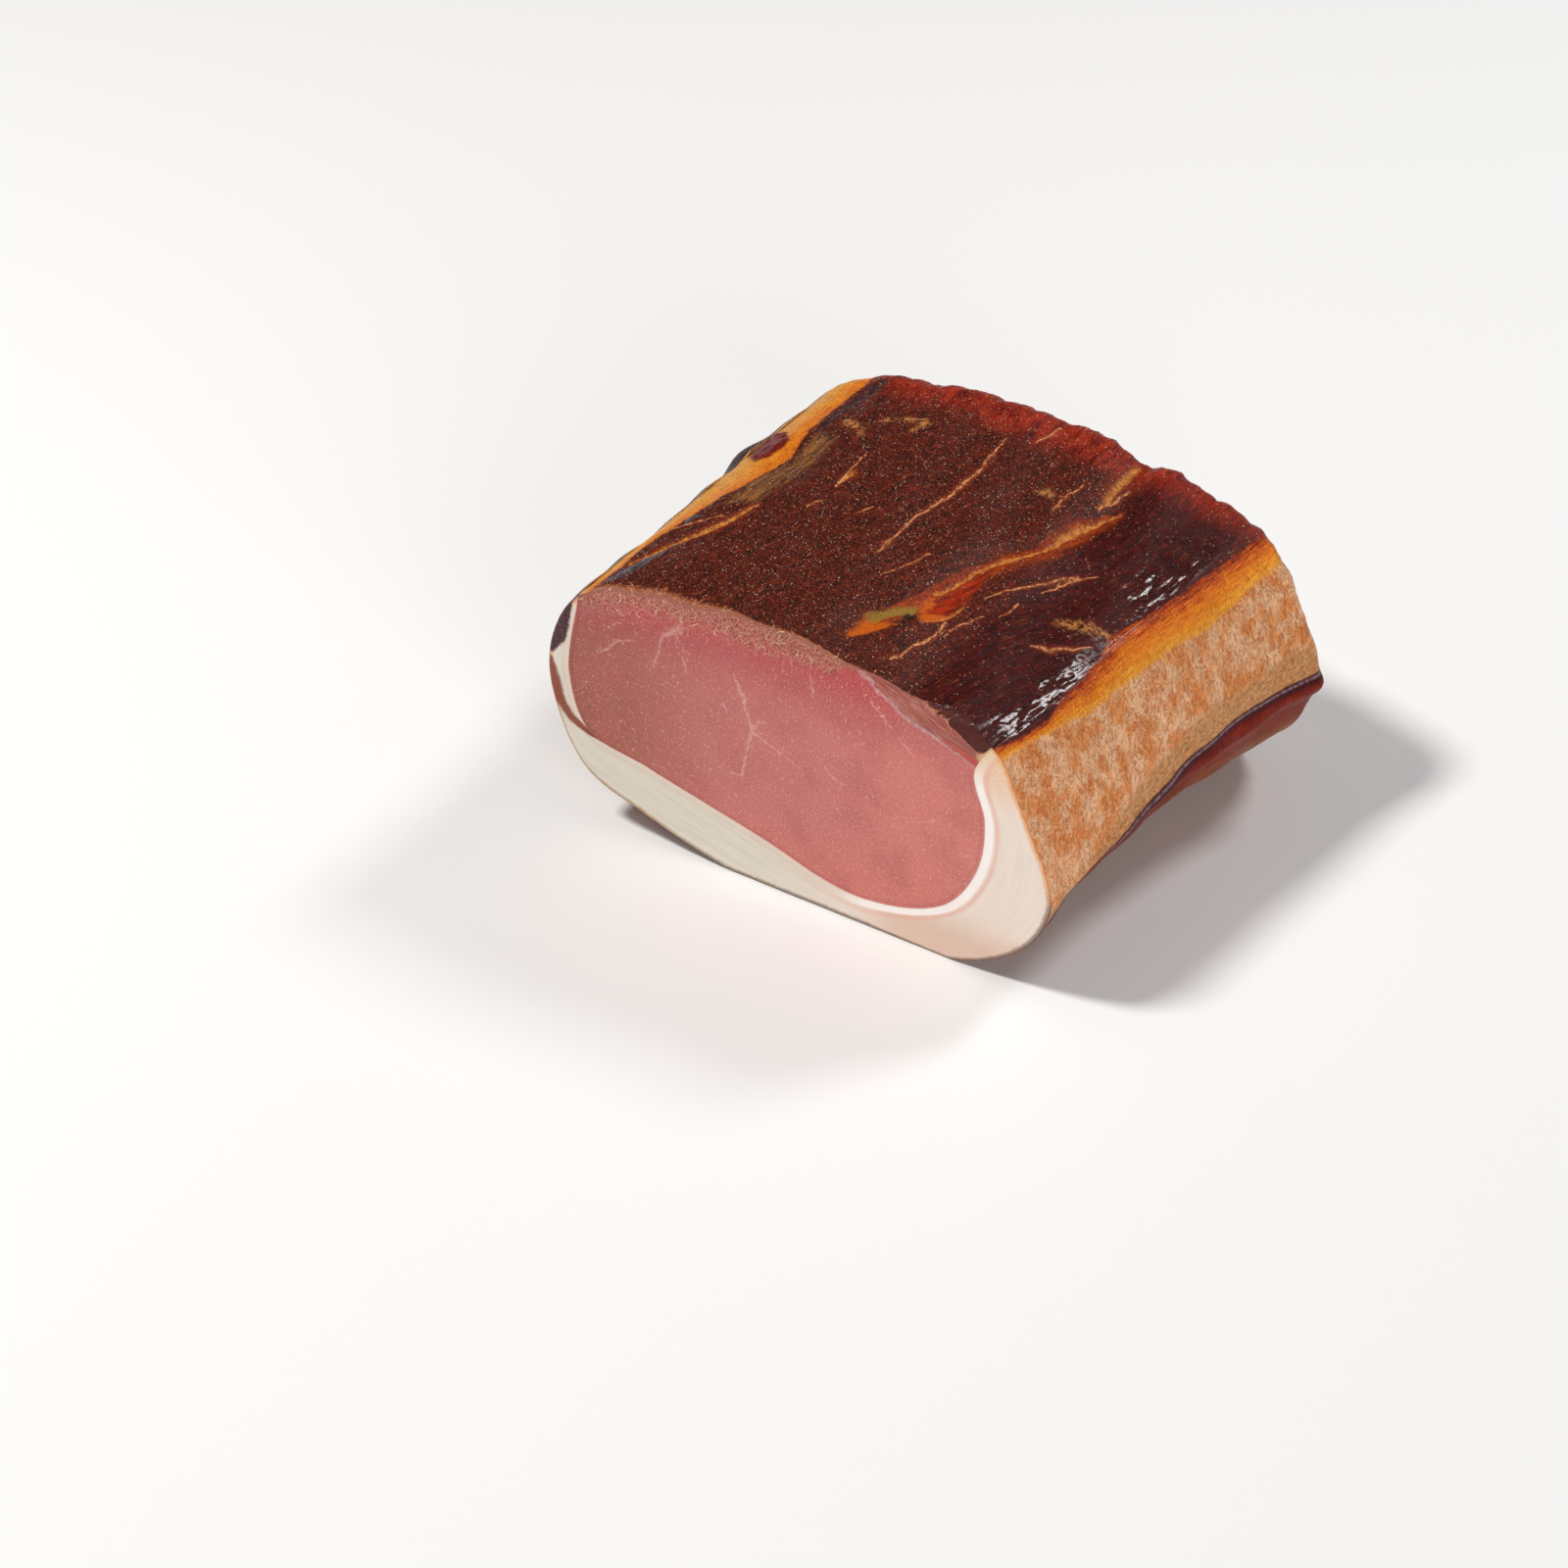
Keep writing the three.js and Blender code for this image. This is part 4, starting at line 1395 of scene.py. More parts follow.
@dataclass
class Graph:
    """A node tree in the writing."""

    tree: bpy.types.NodeTree

    def node(self, kind: str, inputs: dict[str | int, Input] | None = None,
             **settings: str | bool | int) -> bpy.types.Node:
        """Add a node.

        Args:
            kind: The node's type.
            inputs: What each input takes: a socket to link from, or a value.
            **settings: The node's own settings.

        Returns:
            The node.
        """
        made = self.tree.nodes.new(kind)
        for name, value in settings.items():
            setattr(made, name, value)
        for key, value in (inputs or {}).items():
            socket = made.inputs[key]
            if isinstance(value, bpy.types.NodeSocket):
                self.tree.links.new(value, socket)
            elif socket.type == "RGBA" and isinstance(value, tuple):
                socket.default_value = (*value, 1.0)
            else:
                socket.default_value = value
        return made

    def math(self, operation: str, *values: Input) -> bpy.types.NodeSocket:
        """Work out one step of arithmetic."""
        return self.node("ShaderNodeMath", dict(enumerate(values)), operation=operation).outputs[0]

    def fade(self, value: Input, low: float, high: float, start: float = 0.0,
             stop: float = 1.0) -> bpy.types.NodeSocket:
        """A smooth change from start at low to stop at high."""
        inputs = dict(enumerate((value, low, high, start, stop)))
        return self.node("ShaderNodeMapRange", inputs, interpolation_type="SMOOTHSTEP").outputs[0]

    def mix(self, share: Input, first: Input, second: Input) -> bpy.types.NodeSocket:
        """A colour a share of the way from first to second."""
        return self.node("ShaderNodeMix", {0: share, 6: first, 7: second}, data_type="RGBA").outputs[2]

    def multiply(self, *values: Input) -> bpy.types.NodeSocket:
        """The product of several values.

        Args:
            *values: The values.

        Returns:
            The product.
        """
        product = values[0]
        for value in values[1:]:
            product = self.math("MULTIPLY", product, value)
        return product

    def read(self, name: str) -> bpy.types.NodeSocket:
        """A value that the mesh carries."""
        return self.node("ShaderNodeAttribute", attribute_name=name).outputs["Fac"]

    def flat(self, across: Input, along: Input, depth: Input = 0.0) -> bpy.types.NodeSocket:
        """A place on a map."""
        return self.node("ShaderNodeCombineXYZ", dict(enumerate((across, along, depth)))).outputs[0]

    def noise(self, place: Input, size: float, detail: float = 3.0,
              roughness: float = 0.5) -> bpy.types.NodeSocket:
        """Cloudy unevenness round 0.5, with features of a size."""
        inputs = {"Vector": place, "Scale": 1.0 / size, "Detail": detail, "Roughness": roughness}
        return self.node("ShaderNodeTexNoise", inputs).outputs["Fac"]

    def use(self, group: bpy.types.NodeTree, inputs: dict[str | int, Input]) -> bpy.types.NodeSocket:
        """Place a node group and return what it puts out.

        Args:
            group: The group.
            inputs: What each of its inputs takes.

        Returns:
            Its first output.
        """
        made = self.tree.nodes.new("ShaderNodeGroup")
        made.node_tree = group
        for key, value in inputs.items():
            if isinstance(value, bpy.types.NodeSocket):
                self.tree.links.new(value, made.inputs[key])
            else:
                made.inputs[key].default_value = value
        return made.outputs[0]


@dataclass(frozen=True)
class Effects:
    """The shader node groups that several finishes share."""

    ragged: bpy.types.NodeTree
    grain: bpy.types.NodeTree
    flecks: bpy.types.NodeTree
    frayed: bpy.types.NodeTree
    line: bpy.types.NodeTree
    strokes: bpy.types.NodeTree

    @classmethod
    def build(cls) -> "Effects":
        """Make every group."""
        return cls(cls.ragged_edge(), cls.meat_grain(), cls.fleck_mask(), cls.frayed_meat(), cls.thin_line(),
                   cls.fine_strokes())

    @staticmethod
    def start(name: str, inputs: dict[str, float | None], output: str) -> tuple[Graph, Array, Input]:
        """Start a group.

        Args:
            name: Its name.
            inputs: The named inputs with their usual values, None for a place on a map.
            output: "Mask" for a value or "Color" for a colour.

        Returns:
            The graph, its input sockets and the socket to end in.
        """
        tree = bpy.data.node_groups.new(name, "ShaderNodeTree")
        for key, value in inputs.items():
            kind = "NodeSocketVector" if value is None else "NodeSocketFloat"
            socket = tree.interface.new_socket(name=key, in_out="INPUT", socket_type=kind)
            if value is not None:
                socket.default_value = value
        kind = "NodeSocketFloat" if output == "Mask" else "NodeSocketColor"
        tree.interface.new_socket(name=output, in_out="OUTPUT", socket_type=kind)
        graph = Graph(tree)
        inner = graph.node("NodeGroupInput").outputs
        return graph, inner, graph.node("NodeGroupOutput").inputs[0]

    @classmethod
    def ragged_edge(cls) -> bpy.types.NodeTree:
        """A mask whose edge wanders, by the signed distance from it.

        Returns:
            The group.
        """
        graph, inner, end = cls.start("Ragged edge", {
            "Distance": 0.0, "Place": None, "Size": 1.5, "Wander": 0.6, "Softness": 0.3}, "Mask")
        scale = graph.math("DIVIDE", 1.0, inner["Size"])
        noise = graph.node("ShaderNodeTexNoise", {"Vector": inner["Place"], "Scale": scale, "Detail": 4.0,
                                                  "Roughness": 0.65})
        offset = graph.multiply(graph.math("SUBTRACT", noise.outputs["Fac"], 0.5), 2.0, inner["Wander"])
        moved = graph.math("DIVIDE", graph.math("ADD", inner["Distance"], offset), inner["Softness"])
        graph.tree.links.new(graph.fade(moved, -1.0, 1.0), end)
        return graph.tree

    @classmethod
    def thin_line(cls) -> bpy.types.NodeTree:
        """How near a thin line is, kept sharp by the side of it that a place lies on.

        Returns:
            The group.
        """
        graph, inner, end = cls.start("Thin line", {"Near": 0.0, "Side": 0.0}, "Mask")
        sharp = graph.math("SUBTRACT", 1.0, graph.math("ABSOLUTE", inner["Side"]))
        graph.tree.links.new(graph.math("MINIMUM", sharp, graph.math("ADD", inner["Near"], 1.4)), end)
        return graph.tree

    @classmethod
    def meat_grain(cls) -> bpy.types.NodeTree:
        """Streaks along the muscle, from 0 to 1.

        Returns:
            The group.
        """
        graph, inner, end = cls.start("Meat grain", {
            "Across": 0.0, "Along": 0.0, "Width": 1.0, "Length": 8.0, "Contrast": 2.0}, "Mask")
        place = graph.flat(graph.math("DIVIDE", inner["Across"], inner["Width"]),
                           graph.math("DIVIDE", inner["Along"], inner["Length"]))
        noise = graph.node("ShaderNodeTexNoise", {"Vector": place, "Scale": 1.0, "Detail": 4.0,
                                                  "Roughness": 0.6})
        swing = graph.multiply(graph.math("SUBTRACT", noise.outputs["Fac"], 0.5), inner["Contrast"])
        level = graph.node("ShaderNodeClamp", {0: graph.math("ADD", swing, 0.5)}).outputs[0]
        graph.tree.links.new(level, end)
        return graph.tree

    @classmethod
    def fleck_mask(cls) -> bpy.types.NodeTree:
        """Small separate spots, in a share of the cells of a map.

        Returns:
            The group.
        """
        graph, inner, end = cls.start("Flecks", {
            "Place": None, "Size": 0.8, "Share": 0.3, "Spot": 0.35}, "Mask")
        scale = graph.math("DIVIDE", 1.0, inner["Size"])
        cells = graph.node("ShaderNodeTexVoronoi", {"Vector": inner["Place"], "Scale": scale,
                                                    "Randomness": 1.0})
        spot = graph.math("DIVIDE", cells.outputs["Distance"], inner["Spot"])
        colour = graph.node("ShaderNodeSeparateColor", {0: cells.outputs["Color"]}).outputs[0]
        chosen = graph.math("LESS_THAN", colour, inner["Share"])
        graph.tree.links.new(graph.multiply(graph.fade(spot, 1.0, 0.5), chosen), end)
        return graph.tree

    @classmethod
    def fine_strokes(cls) -> bpy.types.NodeTree:
        """Thin wandering strokes: 1 on them and 0 between.

        Returns:
            The group.
        """
        graph, inner, end = cls.start("Fine strokes", {
            "Across": 0.0, "Along": 0.0, "Width": 1.0, "Length": 2.0, "Thickness": 0.05}, "Mask")
        place = graph.flat(graph.math("DIVIDE", inner["Across"], inner["Width"]),
                           graph.math("DIVIDE", inner["Along"], inner["Length"]))
        noise = graph.node("ShaderNodeTexNoise", {"Vector": place, "Scale": 1.0, "Detail": 3.0,
                                                  "Roughness": 0.6, "Distortion": 0.7})
        off = graph.math("ABSOLUTE", graph.math("SUBTRACT", noise.outputs["Fac"], 0.5))
        graph.tree.links.new(graph.fade(graph.math("DIVIDE", off, inner["Thickness"]), 1.0, 0.2), end)
        return graph.tree

    @classmethod
    def frayed_meat(cls) -> bpy.types.NodeTree:
        """The colour of the torn margin between the fresh cut and the smoked top.

        Returns:
            The group.
        """
        graph, inner, end = cls.start("Frayed meat", {"Place": None, "Fray": 0.5}, "Color")
        colour = graph.mix(graph.fade(inner["Fray"], 0.0, 0.35), tint(170, 72, 72), tint(156, 76, 68))
        colour = graph.mix(graph.fade(inner["Fray"], 0.3, 0.7), colour, tint(146, 76, 44))
        colour = graph.mix(graph.fade(inner["Fray"], 0.62, 0.95), colour, tint(74, 24, 15))
        cloud = graph.noise(inner["Place"], 1.3, 4.0, 0.65)
        colour = graph.mix(graph.fade(cloud, 0.52, 0.66, 0.0, 0.6), colour, tint(112, 34, 30))
        glint = graph.multiply(graph.fade(cloud, 0.47, 0.38),
                               graph.fade(inner["Fray"], 0.35, 0.75, 0.0, 0.8),
                               graph.fade(inner["Fray"], 1.15, 0.9))
        colour = graph.mix(glint, colour, tint(196, 116, 56))
        torn = graph.noise(inner["Place"], 0.8, 4.0, 0.7)
        wisp = graph.fade(graph.math("ABSOLUTE", graph.math("SUBTRACT", torn, 0.5)), 0.035, 0.008)
        wisp = graph.multiply(wisp, graph.fade(inner["Fray"], 0.9, 0.4, 0.0, 0.6))
        graph.tree.links.new(graph.mix(wisp, colour, tint(226, 186, 164)), end)
        return graph.tree


@dataclass(frozen=True)
class Gloss:
    """The constants of a moist surface."""

    subsurface: float = 0.1
    reach: float = 0.0015
    bleed: Tint = (1.0, 0.35, 0.2)
    coat_roughness: float = 0.14
    index: float = 1.4
    specular: float = 0.4


@dataclass(frozen=True)
class Finish:
    """What every finish has: its node groups and its constants."""

    effects: Effects
    gloss: Gloss = Gloss()

    def start(self, name: str) -> tuple[bpy.types.Material, Graph, bpy.types.Node]:
        """Start a material.

        Args:
            name: The material's name.

        Returns:
            The material, its graph and its Principled shader.
        """
        material = bpy.data.materials.new(name)
        material.use_nodes = True
        graph = Graph(material.node_tree)
        shader = material.node_tree.nodes["Principled BSDF"]
        constants = {
            "Subsurface Weight": self.gloss.subsurface, "Subsurface Scale": self.gloss.reach,
            "Subsurface Radius": self.gloss.bleed, "Coat Roughness": self.gloss.coat_roughness,
            "IOR": self.gloss.index, "Specular IOR Level": self.gloss.specular,
        }
        for key, value in constants.items():
            shader.inputs[key].default_value = value
        return material, graph, shader

    @staticmethod
    def end(graph: Graph, shader: bpy.types.Node, colour: Input, roughness: Input, coat: Input,
            height: Input, depth: float) -> None:
        """Link what varies to the shader.

        Args:
            graph: The material's graph.
            shader: Its Principled shader.
            colour: The base colour.
            roughness: The roughness.
            coat: How wet the surface is.
            height: The fine relief, from 0 to 1.
            depth: How deep that relief is, in metres.
        """
        relief = graph.node("ShaderNodeBump", {"Strength": 1.0, "Distance": depth, "Height": height})
        sources = {"Base Color": colour, "Roughness": roughness, "Coat Weight": coat,
                   "Normal": relief.outputs[0]}
        for key, value in sources.items():
            if isinstance(value, bpy.types.NodeSocket):
                graph.tree.links.new(value, shader.inputs[key])
            else:
                shader.inputs[key].default_value = value

    def ragged(self, graph: Graph, distance: Input, place: Input, size: float, wander: float,
               softness: float) -> bpy.types.NodeSocket:
        """A mask of a zone with a ragged edge.

        Args:
            graph: The material's graph.
            distance: How far inside the zone a place is, or the name of the value that says so.
            place: The place on the map.
            size: Size of the rags.
            wander: How far the edge wanders.
            softness: How soft the edge is.

        Returns:
            The mask.
        """
        value = graph.read(distance) if isinstance(distance, str) else distance
        return graph.use(self.effects.ragged, {
            "Distance": value, "Place": place, "Size": size, "Wander": wander, "Softness": softness})

    def thin(self, graph: Graph, name: str, place: Input, softness: float = 0.5) -> bpy.types.NodeSocket:
        """A mask of the thin lines that a value and its side mark."""
        near = graph.use(self.effects.line, {"Near": graph.read(name), "Side": graph.read(name + "_side")})
        return self.ragged(graph, graph.math("SUBTRACT", near, 0.3), place, 1.1, 0.8, softness)

    def streaks(self, graph: Graph, across: Input, along: Input, width: float, length: float,
                contrast: float) -> bpy.types.NodeSocket:
        """Streaks along the muscle, of a width and a length in millimetres."""
        return graph.use(self.effects.grain, {
            "Across": across, "Along": along, "Width": width, "Length": length, "Contrast": contrast})

    def strokes(self, graph: Graph, across: Input, along: Input, width: float, length: float,
                thickness: float = 0.06) -> bpy.types.NodeSocket:
        """Thin wandering strokes, with a spacing across and along in millimetres."""
        return graph.use(self.effects.strokes, {
            "Across": across, "Along": along, "Width": width, "Length": length, "Thickness": thickness})

    def flecks(self, graph: Graph, place: Input, size: float, share: float,
               spot: float) -> bpy.types.NodeSocket:
        """Small spots, one in a share of the cells of a size in millimetres."""
        return graph.use(self.effects.flecks, {"Place": place, "Size": size, "Share": share, "Spot": spot})


@dataclass(frozen=True)
class SmokedSkin(Finish):
    """The smoked outside: dark crust, orange seams and bands, creped tan fat and brown rind."""

    gloss: Gloss = Gloss(subsurface=0.02, reach=0.001, specular=0.22)

    def dress(self) -> bpy.types.Material:
        """Make the material.

        Returns:
            The material.
        """
        material, graph, shader = self.start("Smoked skin")
        girth, along, wet = graph.read("girth"), graph.read("along"), graph.read("wet")
        flow = graph.read("flow")
        place = graph.flat(girth, along)
        fine = graph.noise(place, 0.5, 4.0, 0.7)
        crust = self.ragged(graph, "crust", place, 1.3, 0.9, 0.3)
        rind = self.ragged(graph, "rind", place, 2.5, 0.35, 0.3)
        crepe = self.strokes(graph, along, girth, 1.0, 1.9, 0.07)
        leaning = graph.math("ADD", along, graph.multiply(girth, 0.25))
        folds = self.strokes(graph, leaning, girth, 1.7, 3.4, 0.1)
        crepe = graph.math("MAXIMUM", crepe, graph.multiply(folds, 0.8))
        colour = graph.mix(crust, self.fat(graph, place, fine, crepe), self.crust(graph, place, fine))
        colour = graph.mix(rind, colour, self.rind(graph, place))
        lump = self.ragged(graph, "lump", place, 1.5, 0.8, 0.5)
        colour = graph.mix(lump, colour, graph.mix(graph.noise(place, 1.2), tint(60, 8, 8),
                                                   tint(150, 34, 18)))
        fray = graph.read("fray")
        torn = self.ragged(graph, graph.math("SUBTRACT", 1.0, fray), place, 1.4, 0.3, 0.12)
        frayed = graph.use(self.effects.frayed, {"Place": place, "Fray": fray})
        colour = graph.mix(graph.multiply(torn, crust), colour, frayed)
        wet = graph.math("MAXIMUM", wet, graph.multiply(lump, 0.25))
        wet = graph.math("MAXIMUM", wet, graph.fade(graph.read("gloss"), -0.2, 0.5, 0.0, 0.8))
        dry = graph.fade(fine, 0.3, 0.7, 0.28, 0.46)
        rough = graph.math("SUBTRACT", dry, graph.multiply(wet, 0.12))
        ridges = self.streaks(graph, flow, along, 0.5, 5.0, 2.2)
        height = graph.math("ADD", graph.multiply(fine, 0.8), graph.multiply(ridges, wet, 0.9))
        height = graph.math("ADD", height, graph.multiply(crepe, graph.fade(crust, 1.0, 0.0), 1.1))
        self.end(graph, shader, colour, rough, graph.multiply(wet, 0.5), height, 0.00024)
        return material

    def crust(self, graph: Graph, place: Input, fine: Input) -> bpy.types.NodeSocket:
        """The dark smoked meat with its seams.

        Args:
            graph: The material's graph.
            place: The place on the map.
            fine: Fine unevenness.

        Returns:
            The colour.
        """
        girth, along, lobe = graph.read("girth"), graph.read("along"), graph.read("lobe")
        flow = graph.read("flow")
        streaks = self.streaks(graph, flow, along, 1.1, 6.0, 2.6)
        plain = graph.mix(streaks, tint(32, 9, 7), tint(96, 28, 16))
        cloud = graph.noise(place, 2.0, 4.0, 0.65)
        plain = graph.mix(graph.fade(cloud, 0.53, 0.65, 0.0, 0.6), plain, tint(134, 50, 26))
        plain = graph.mix(graph.fade(fine, 0.52, 0.68, 0.0, 0.7), plain, tint(170, 82, 50))
        threads = self.streaks(graph, flow, along, 0.6, 9.0, 3.0)
        red = graph.mix(streaks, tint(28, 6, 6), tint(88, 16, 11))
        patch = graph.fade(graph.noise(place, 7.0, 2.0), 0.46, 0.58)
        red = graph.mix(graph.multiply(graph.fade(threads, 0.7, 0.95), patch, 0.55), red, tint(150, 82, 38))
        red = graph.mix(graph.fade(cloud, 0.56, 0.66, 0.0, 0.6), red, tint(124, 24, 14))
        colour = graph.mix(lobe, plain, red)
        # Redder towards the smoked end: the meat's own colour, brightened along the back edge by painted
        # light glowing through the thin rim.
        back = graph.multiply(graph.fade(along, 98.0, 111.0), graph.fade(girth, -46.0, -30.0, 0.2, 0.95),
                              graph.fade(along, 134.0, 122.0))
        colour = graph.mix(back, colour, graph.mix(streaks, tint(96, 10, 8), tint(192, 58, 30)))
        fibrous = graph.multiply(self.ragged(graph, "fibrous", place, 2.5, 2.0, 1.4), 0.85)
        fibres = graph.mix(threads, tint(48, 22, 22), tint(176, 116, 62))
        fibres = graph.mix(graph.fade(streaks, 0.35, 0.1), fibres, tint(84, 62, 68))
        colour = graph.mix(fibrous, colour, fibres)
        # Dark purple crust on the left margin; its bluish-grey cast is painted reflection of the pale
        # surroundings.
        dusk = self.ragged(graph, "dusk", place, 1.6, 0.5, 0.5)
        colour = graph.mix(dusk, colour, graph.mix(streaks, tint(38, 16, 22), tint(92, 50, 54)))
        glow = graph.multiply(graph.fade(graph.read("glow"), 0.15, 1.0),
                              graph.fade(cloud, 0.62, 0.46, 0.3, 1.0))
        colour = graph.mix(glow, colour, graph.mix(streaks, tint(124, 26, 8), tint(206, 84, 18)))
        halo = graph.math("MAXIMUM", graph.read("seam"), graph.read("thread"))
        halo = graph.multiply(graph.fade(halo, -2.2, 0.6, 0.0, 0.7), graph.fade(cloud, 0.64, 0.5, 0.3, 1.0))
        colour = graph.mix(halo, colour, tint(146, 50, 16))
        colour = graph.mix(graph.fade(fine, 0.5, 0.38, 0.0, 0.9), colour, tint(18, 5, 4))
        # Painted glints: small pale spots in the base colour stand in for the tiny specular sparkles of the
        # wet, grainy crust, fewer on the lobe.
        pale = self.flecks(graph, place, 1.0, 0.3, 0.17)
        pale = graph.multiply(pale, graph.fade(graph.noise(place, 6.0), 0.4, 0.56, 0.25, 1.0),
                              graph.fade(lobe, 0.0, 1.0, 1.0, 0.5))
        colour = graph.mix(pale, colour, tint(255, 222, 192))
        gaps = graph.fade(graph.noise(place, 1.5, 4.0, 0.7), 0.42, 0.56)
        spots = graph.multiply(self.ragged(graph, "tan", place, 1.0, 1.6, 1.2), gaps, 0.85)
        colour = graph.mix(spots, colour, tint(198, 130, 70))
        orange = graph.mix(graph.noise(place, 0.8, 4.0, 0.6), tint(150, 38, 10), tint(228, 120, 28))
        colour = graph.mix(self.ragged(graph, "orange", place, 1.1, 1.4, 0.9), colour, orange)
        ember = graph.mix(streaks, tint(96, 14, 8), tint(184, 54, 16))
        colour = graph.mix(self.ragged(graph, "ember", place, 1.4, 1.6, 1.1), colour, ember)
        colour = graph.mix(self.ragged(graph, "olive", place, 0.9, 0.9, 0.6), colour,
                           graph.mix(fine, tint(80, 50, 18), tint(190, 146, 54)))
        colour = graph.mix(self.ragged(graph, "hollow", place, 0.9, 0.5, 0.3), colour, tint(40, 22, 14))
        gold = graph.mix(graph.noise(place, 0.7, 4.0, 0.6), tint(176, 78, 18), tint(240, 176, 84))
        seam = self.ragged(graph, graph.math("SUBTRACT", graph.read("seam"), 0.3), place, 0.8, 1.2, 0.5)
        colour = graph.mix(graph.multiply(seam, graph.fade(gaps, 0.0, 1.0, 0.4, 1.0)), colour, gold)
        thread = graph.multiply(self.thin(graph, "thread", place, 0.6),
                                graph.fade(gaps, 0.0, 1.0, 0.15, 0.95))
        colour = graph.mix(thread, colour, graph.mix(fine, tint(180, 92, 36), tint(244, 190, 130)))
        # Painted highlight: grey-lilac streaks along the wet ledges on the left stand in for their
        # reflection of the pale surroundings.
        gloss = graph.multiply(self.ragged(graph, "gloss", place, 1.2, 0.8, 0.5), 0.8)
        return graph.mix(gloss, colour, graph.mix(threads, tint(26, 18, 20), tint(120, 112, 122)))

    def fat(self, graph: Graph, place: Input, fine: Input, crepe: Input) -> bpy.types.NodeSocket:
        """The smoked fat: an orange band beside the crust, then creped tan, then a smooth strip.

        Args:
            graph: The material's graph.
            place: The place on the map.
            fine: Fine unevenness.
            crepe: Where the raised strokes of the creped skin are.

        Returns:
            The colour.
        """
        girth, along, crease = graph.read("girth"), graph.read("along"), graph.read("crease")
        tan = graph.mix(graph.fade(crease, 0.1, 0.7), tint(192, 88, 28), tint(224, 134, 68))
        clouds = graph.noise(place, 6.0, 3.0)
        tan = graph.mix(graph.fade(clouds, 0.46, 0.64, 0.0, 0.6), tan, tint(220, 116, 38))
        tan = graph.mix(graph.fade(along, 30.0, 4.0, 0.0, 0.5), tan, tint(222, 112, 36))
        tan = graph.mix(graph.fade(fine, 0.45, 0.32, 0.0, 0.5), tan, tint(150, 66, 22))
        # Painted shadow: dark strokes set just beside the raised strokes of the creped skin, so the wrinkles
        # look embossed.
        beside = graph.math("ADD", along, 0.3)
        shade = self.strokes(graph, beside, graph.math("ADD", girth, 0.25), 1.0, 1.9, 0.08)
        tan = graph.mix(graph.multiply(shade, 0.45), tan, tint(156, 66, 22))
        # Painted highlights: pale cream on the raised strokes of the creped skin, where the wrinkles would
        # catch the light.
        high = graph.multiply(crepe, graph.fade(crease, 0.2, 0.8, 0.5, 0.85),
                              graph.fade(fine, 0.3, 0.46, 0.4, 1.0))
        tan = graph.mix(high, tan, graph.mix(graph.fade(clouds, 0.4, 0.6), tint(250, 206, 164),
                                             tint(236, 160, 98)))
        small = self.strokes(graph, girth, along, 0.7, 1.0, 0.07)
        tan = graph.mix(graph.multiply(small, graph.fade(clouds, 0.6, 0.45, 0.1, 0.45)), tan,
                        tint(244, 196, 152))
        tan = graph.mix(graph.multiply(self.flecks(graph, place, 1.6, 0.25, 0.16), 0.7), tan,
                        tint(120, 52, 22))
        strip = self.ragged(graph, "strip", place, 3.0, 1.6, 1.4)
        dots = self.streaks(graph, girth, along, 0.6, 1.5, 2.8)
        smooth = graph.mix(dots, tint(166, 100, 50), tint(226, 168, 112))
        colour = graph.mix(graph.multiply(strip, 0.85), tan, smooth)
        lines = self.streaks(graph, graph.read("flow"), along, 0.8, 6.0, 2.8)
        inside, crust = graph.read("amber"), graph.math("MULTIPLY", graph.read("crust"), -1.0)
        share = graph.math("DIVIDE", crust, graph.math("MAXIMUM", graph.math("ADD", crust, inside), 0.5))
        share = graph.math("ADD", share, graph.multiply(graph.math("SUBTRACT", lines, 0.5), 0.55))
        left = graph.fade(girth, 0.0, -1.0)
        share = graph.math("ADD", share, graph.multiply(left, 0.42))
        band = graph.mix(graph.fade(share, 0.0, 0.3), tint(134, 28, 10), tint(208, 84, 12))
        band = graph.mix(graph.fade(share, 0.25, 0.55), band, tint(236, 128, 18))
        band = graph.mix(graph.fade(share, 0.6, 1.0), band, tint(246, 166, 50))
        band = graph.mix(graph.multiply(left, graph.fade(share, 0.7, 1.2)), band, tint(226, 156, 66))
        band = graph.mix(graph.fade(fine, 0.47, 0.34, 0.0, 0.5), band, tint(168, 64, 12))
        band = graph.mix(graph.fade(fine, 0.54, 0.68, 0.0, 0.7), band, tint(250, 190, 96))
        amber = self.ragged(graph, "amber", place, 1.6, 1.1, 0.7)
        return graph.mix(amber, colour, band)

    def rind(self, graph: Graph, place: Input) -> bpy.types.NodeSocket:
        """The rind: a dark lip, then reddish brown that turns to amber below.

        Args:
            graph: The material's graph.
            place: The place on the map.

        Returns:
            The colour.
        """
        past, girth = graph.read("rind"), graph.read("girth")
        streaks = self.streaks(graph, girth, graph.read("along"), 2.0, 12.0, 2.0)
        brown = graph.mix(streaks, tint(98, 16, 6), tint(150, 44, 16))
        amber = graph.mix(streaks, tint(122, 58, 26), tint(176, 100, 48))
        colour = graph.mix(graph.fade(past, 8.0, 22.0), brown, amber)
        cloud = graph.noise(place, 1.1, 4.0, 0.65)
        dark = graph.mix(cloud, tint(40, 10, 16), tint(96, 32, 36))
        colour = graph.mix(graph.fade(past, 1.3, 2.6), dark, colour)
        # Painted highlight: a pale grey-lilac line along the crest of the dark lip stands in for its
        # specular highlight.
        edge = graph.math("ABSOLUTE", graph.math("SUBTRACT", past, 0.75))
        edge = graph.multiply(graph.fade(edge, 0.45, 0.1), graph.fade(cloud, 0.4, 0.55, 0.2, 0.65))
        colour = graph.mix(edge, colour, tint(168, 138, 146))
        left = graph.fade(girth, -50.0, -52.0)
        left = graph.multiply(left, graph.fade(past, 24.0, 14.0))
        dusk = graph.mix(graph.noise(place, 1.6, 4.0, 0.65), tint(24, 11, 15), tint(76, 40, 40))
        return graph.mix(left, colour, dusk)


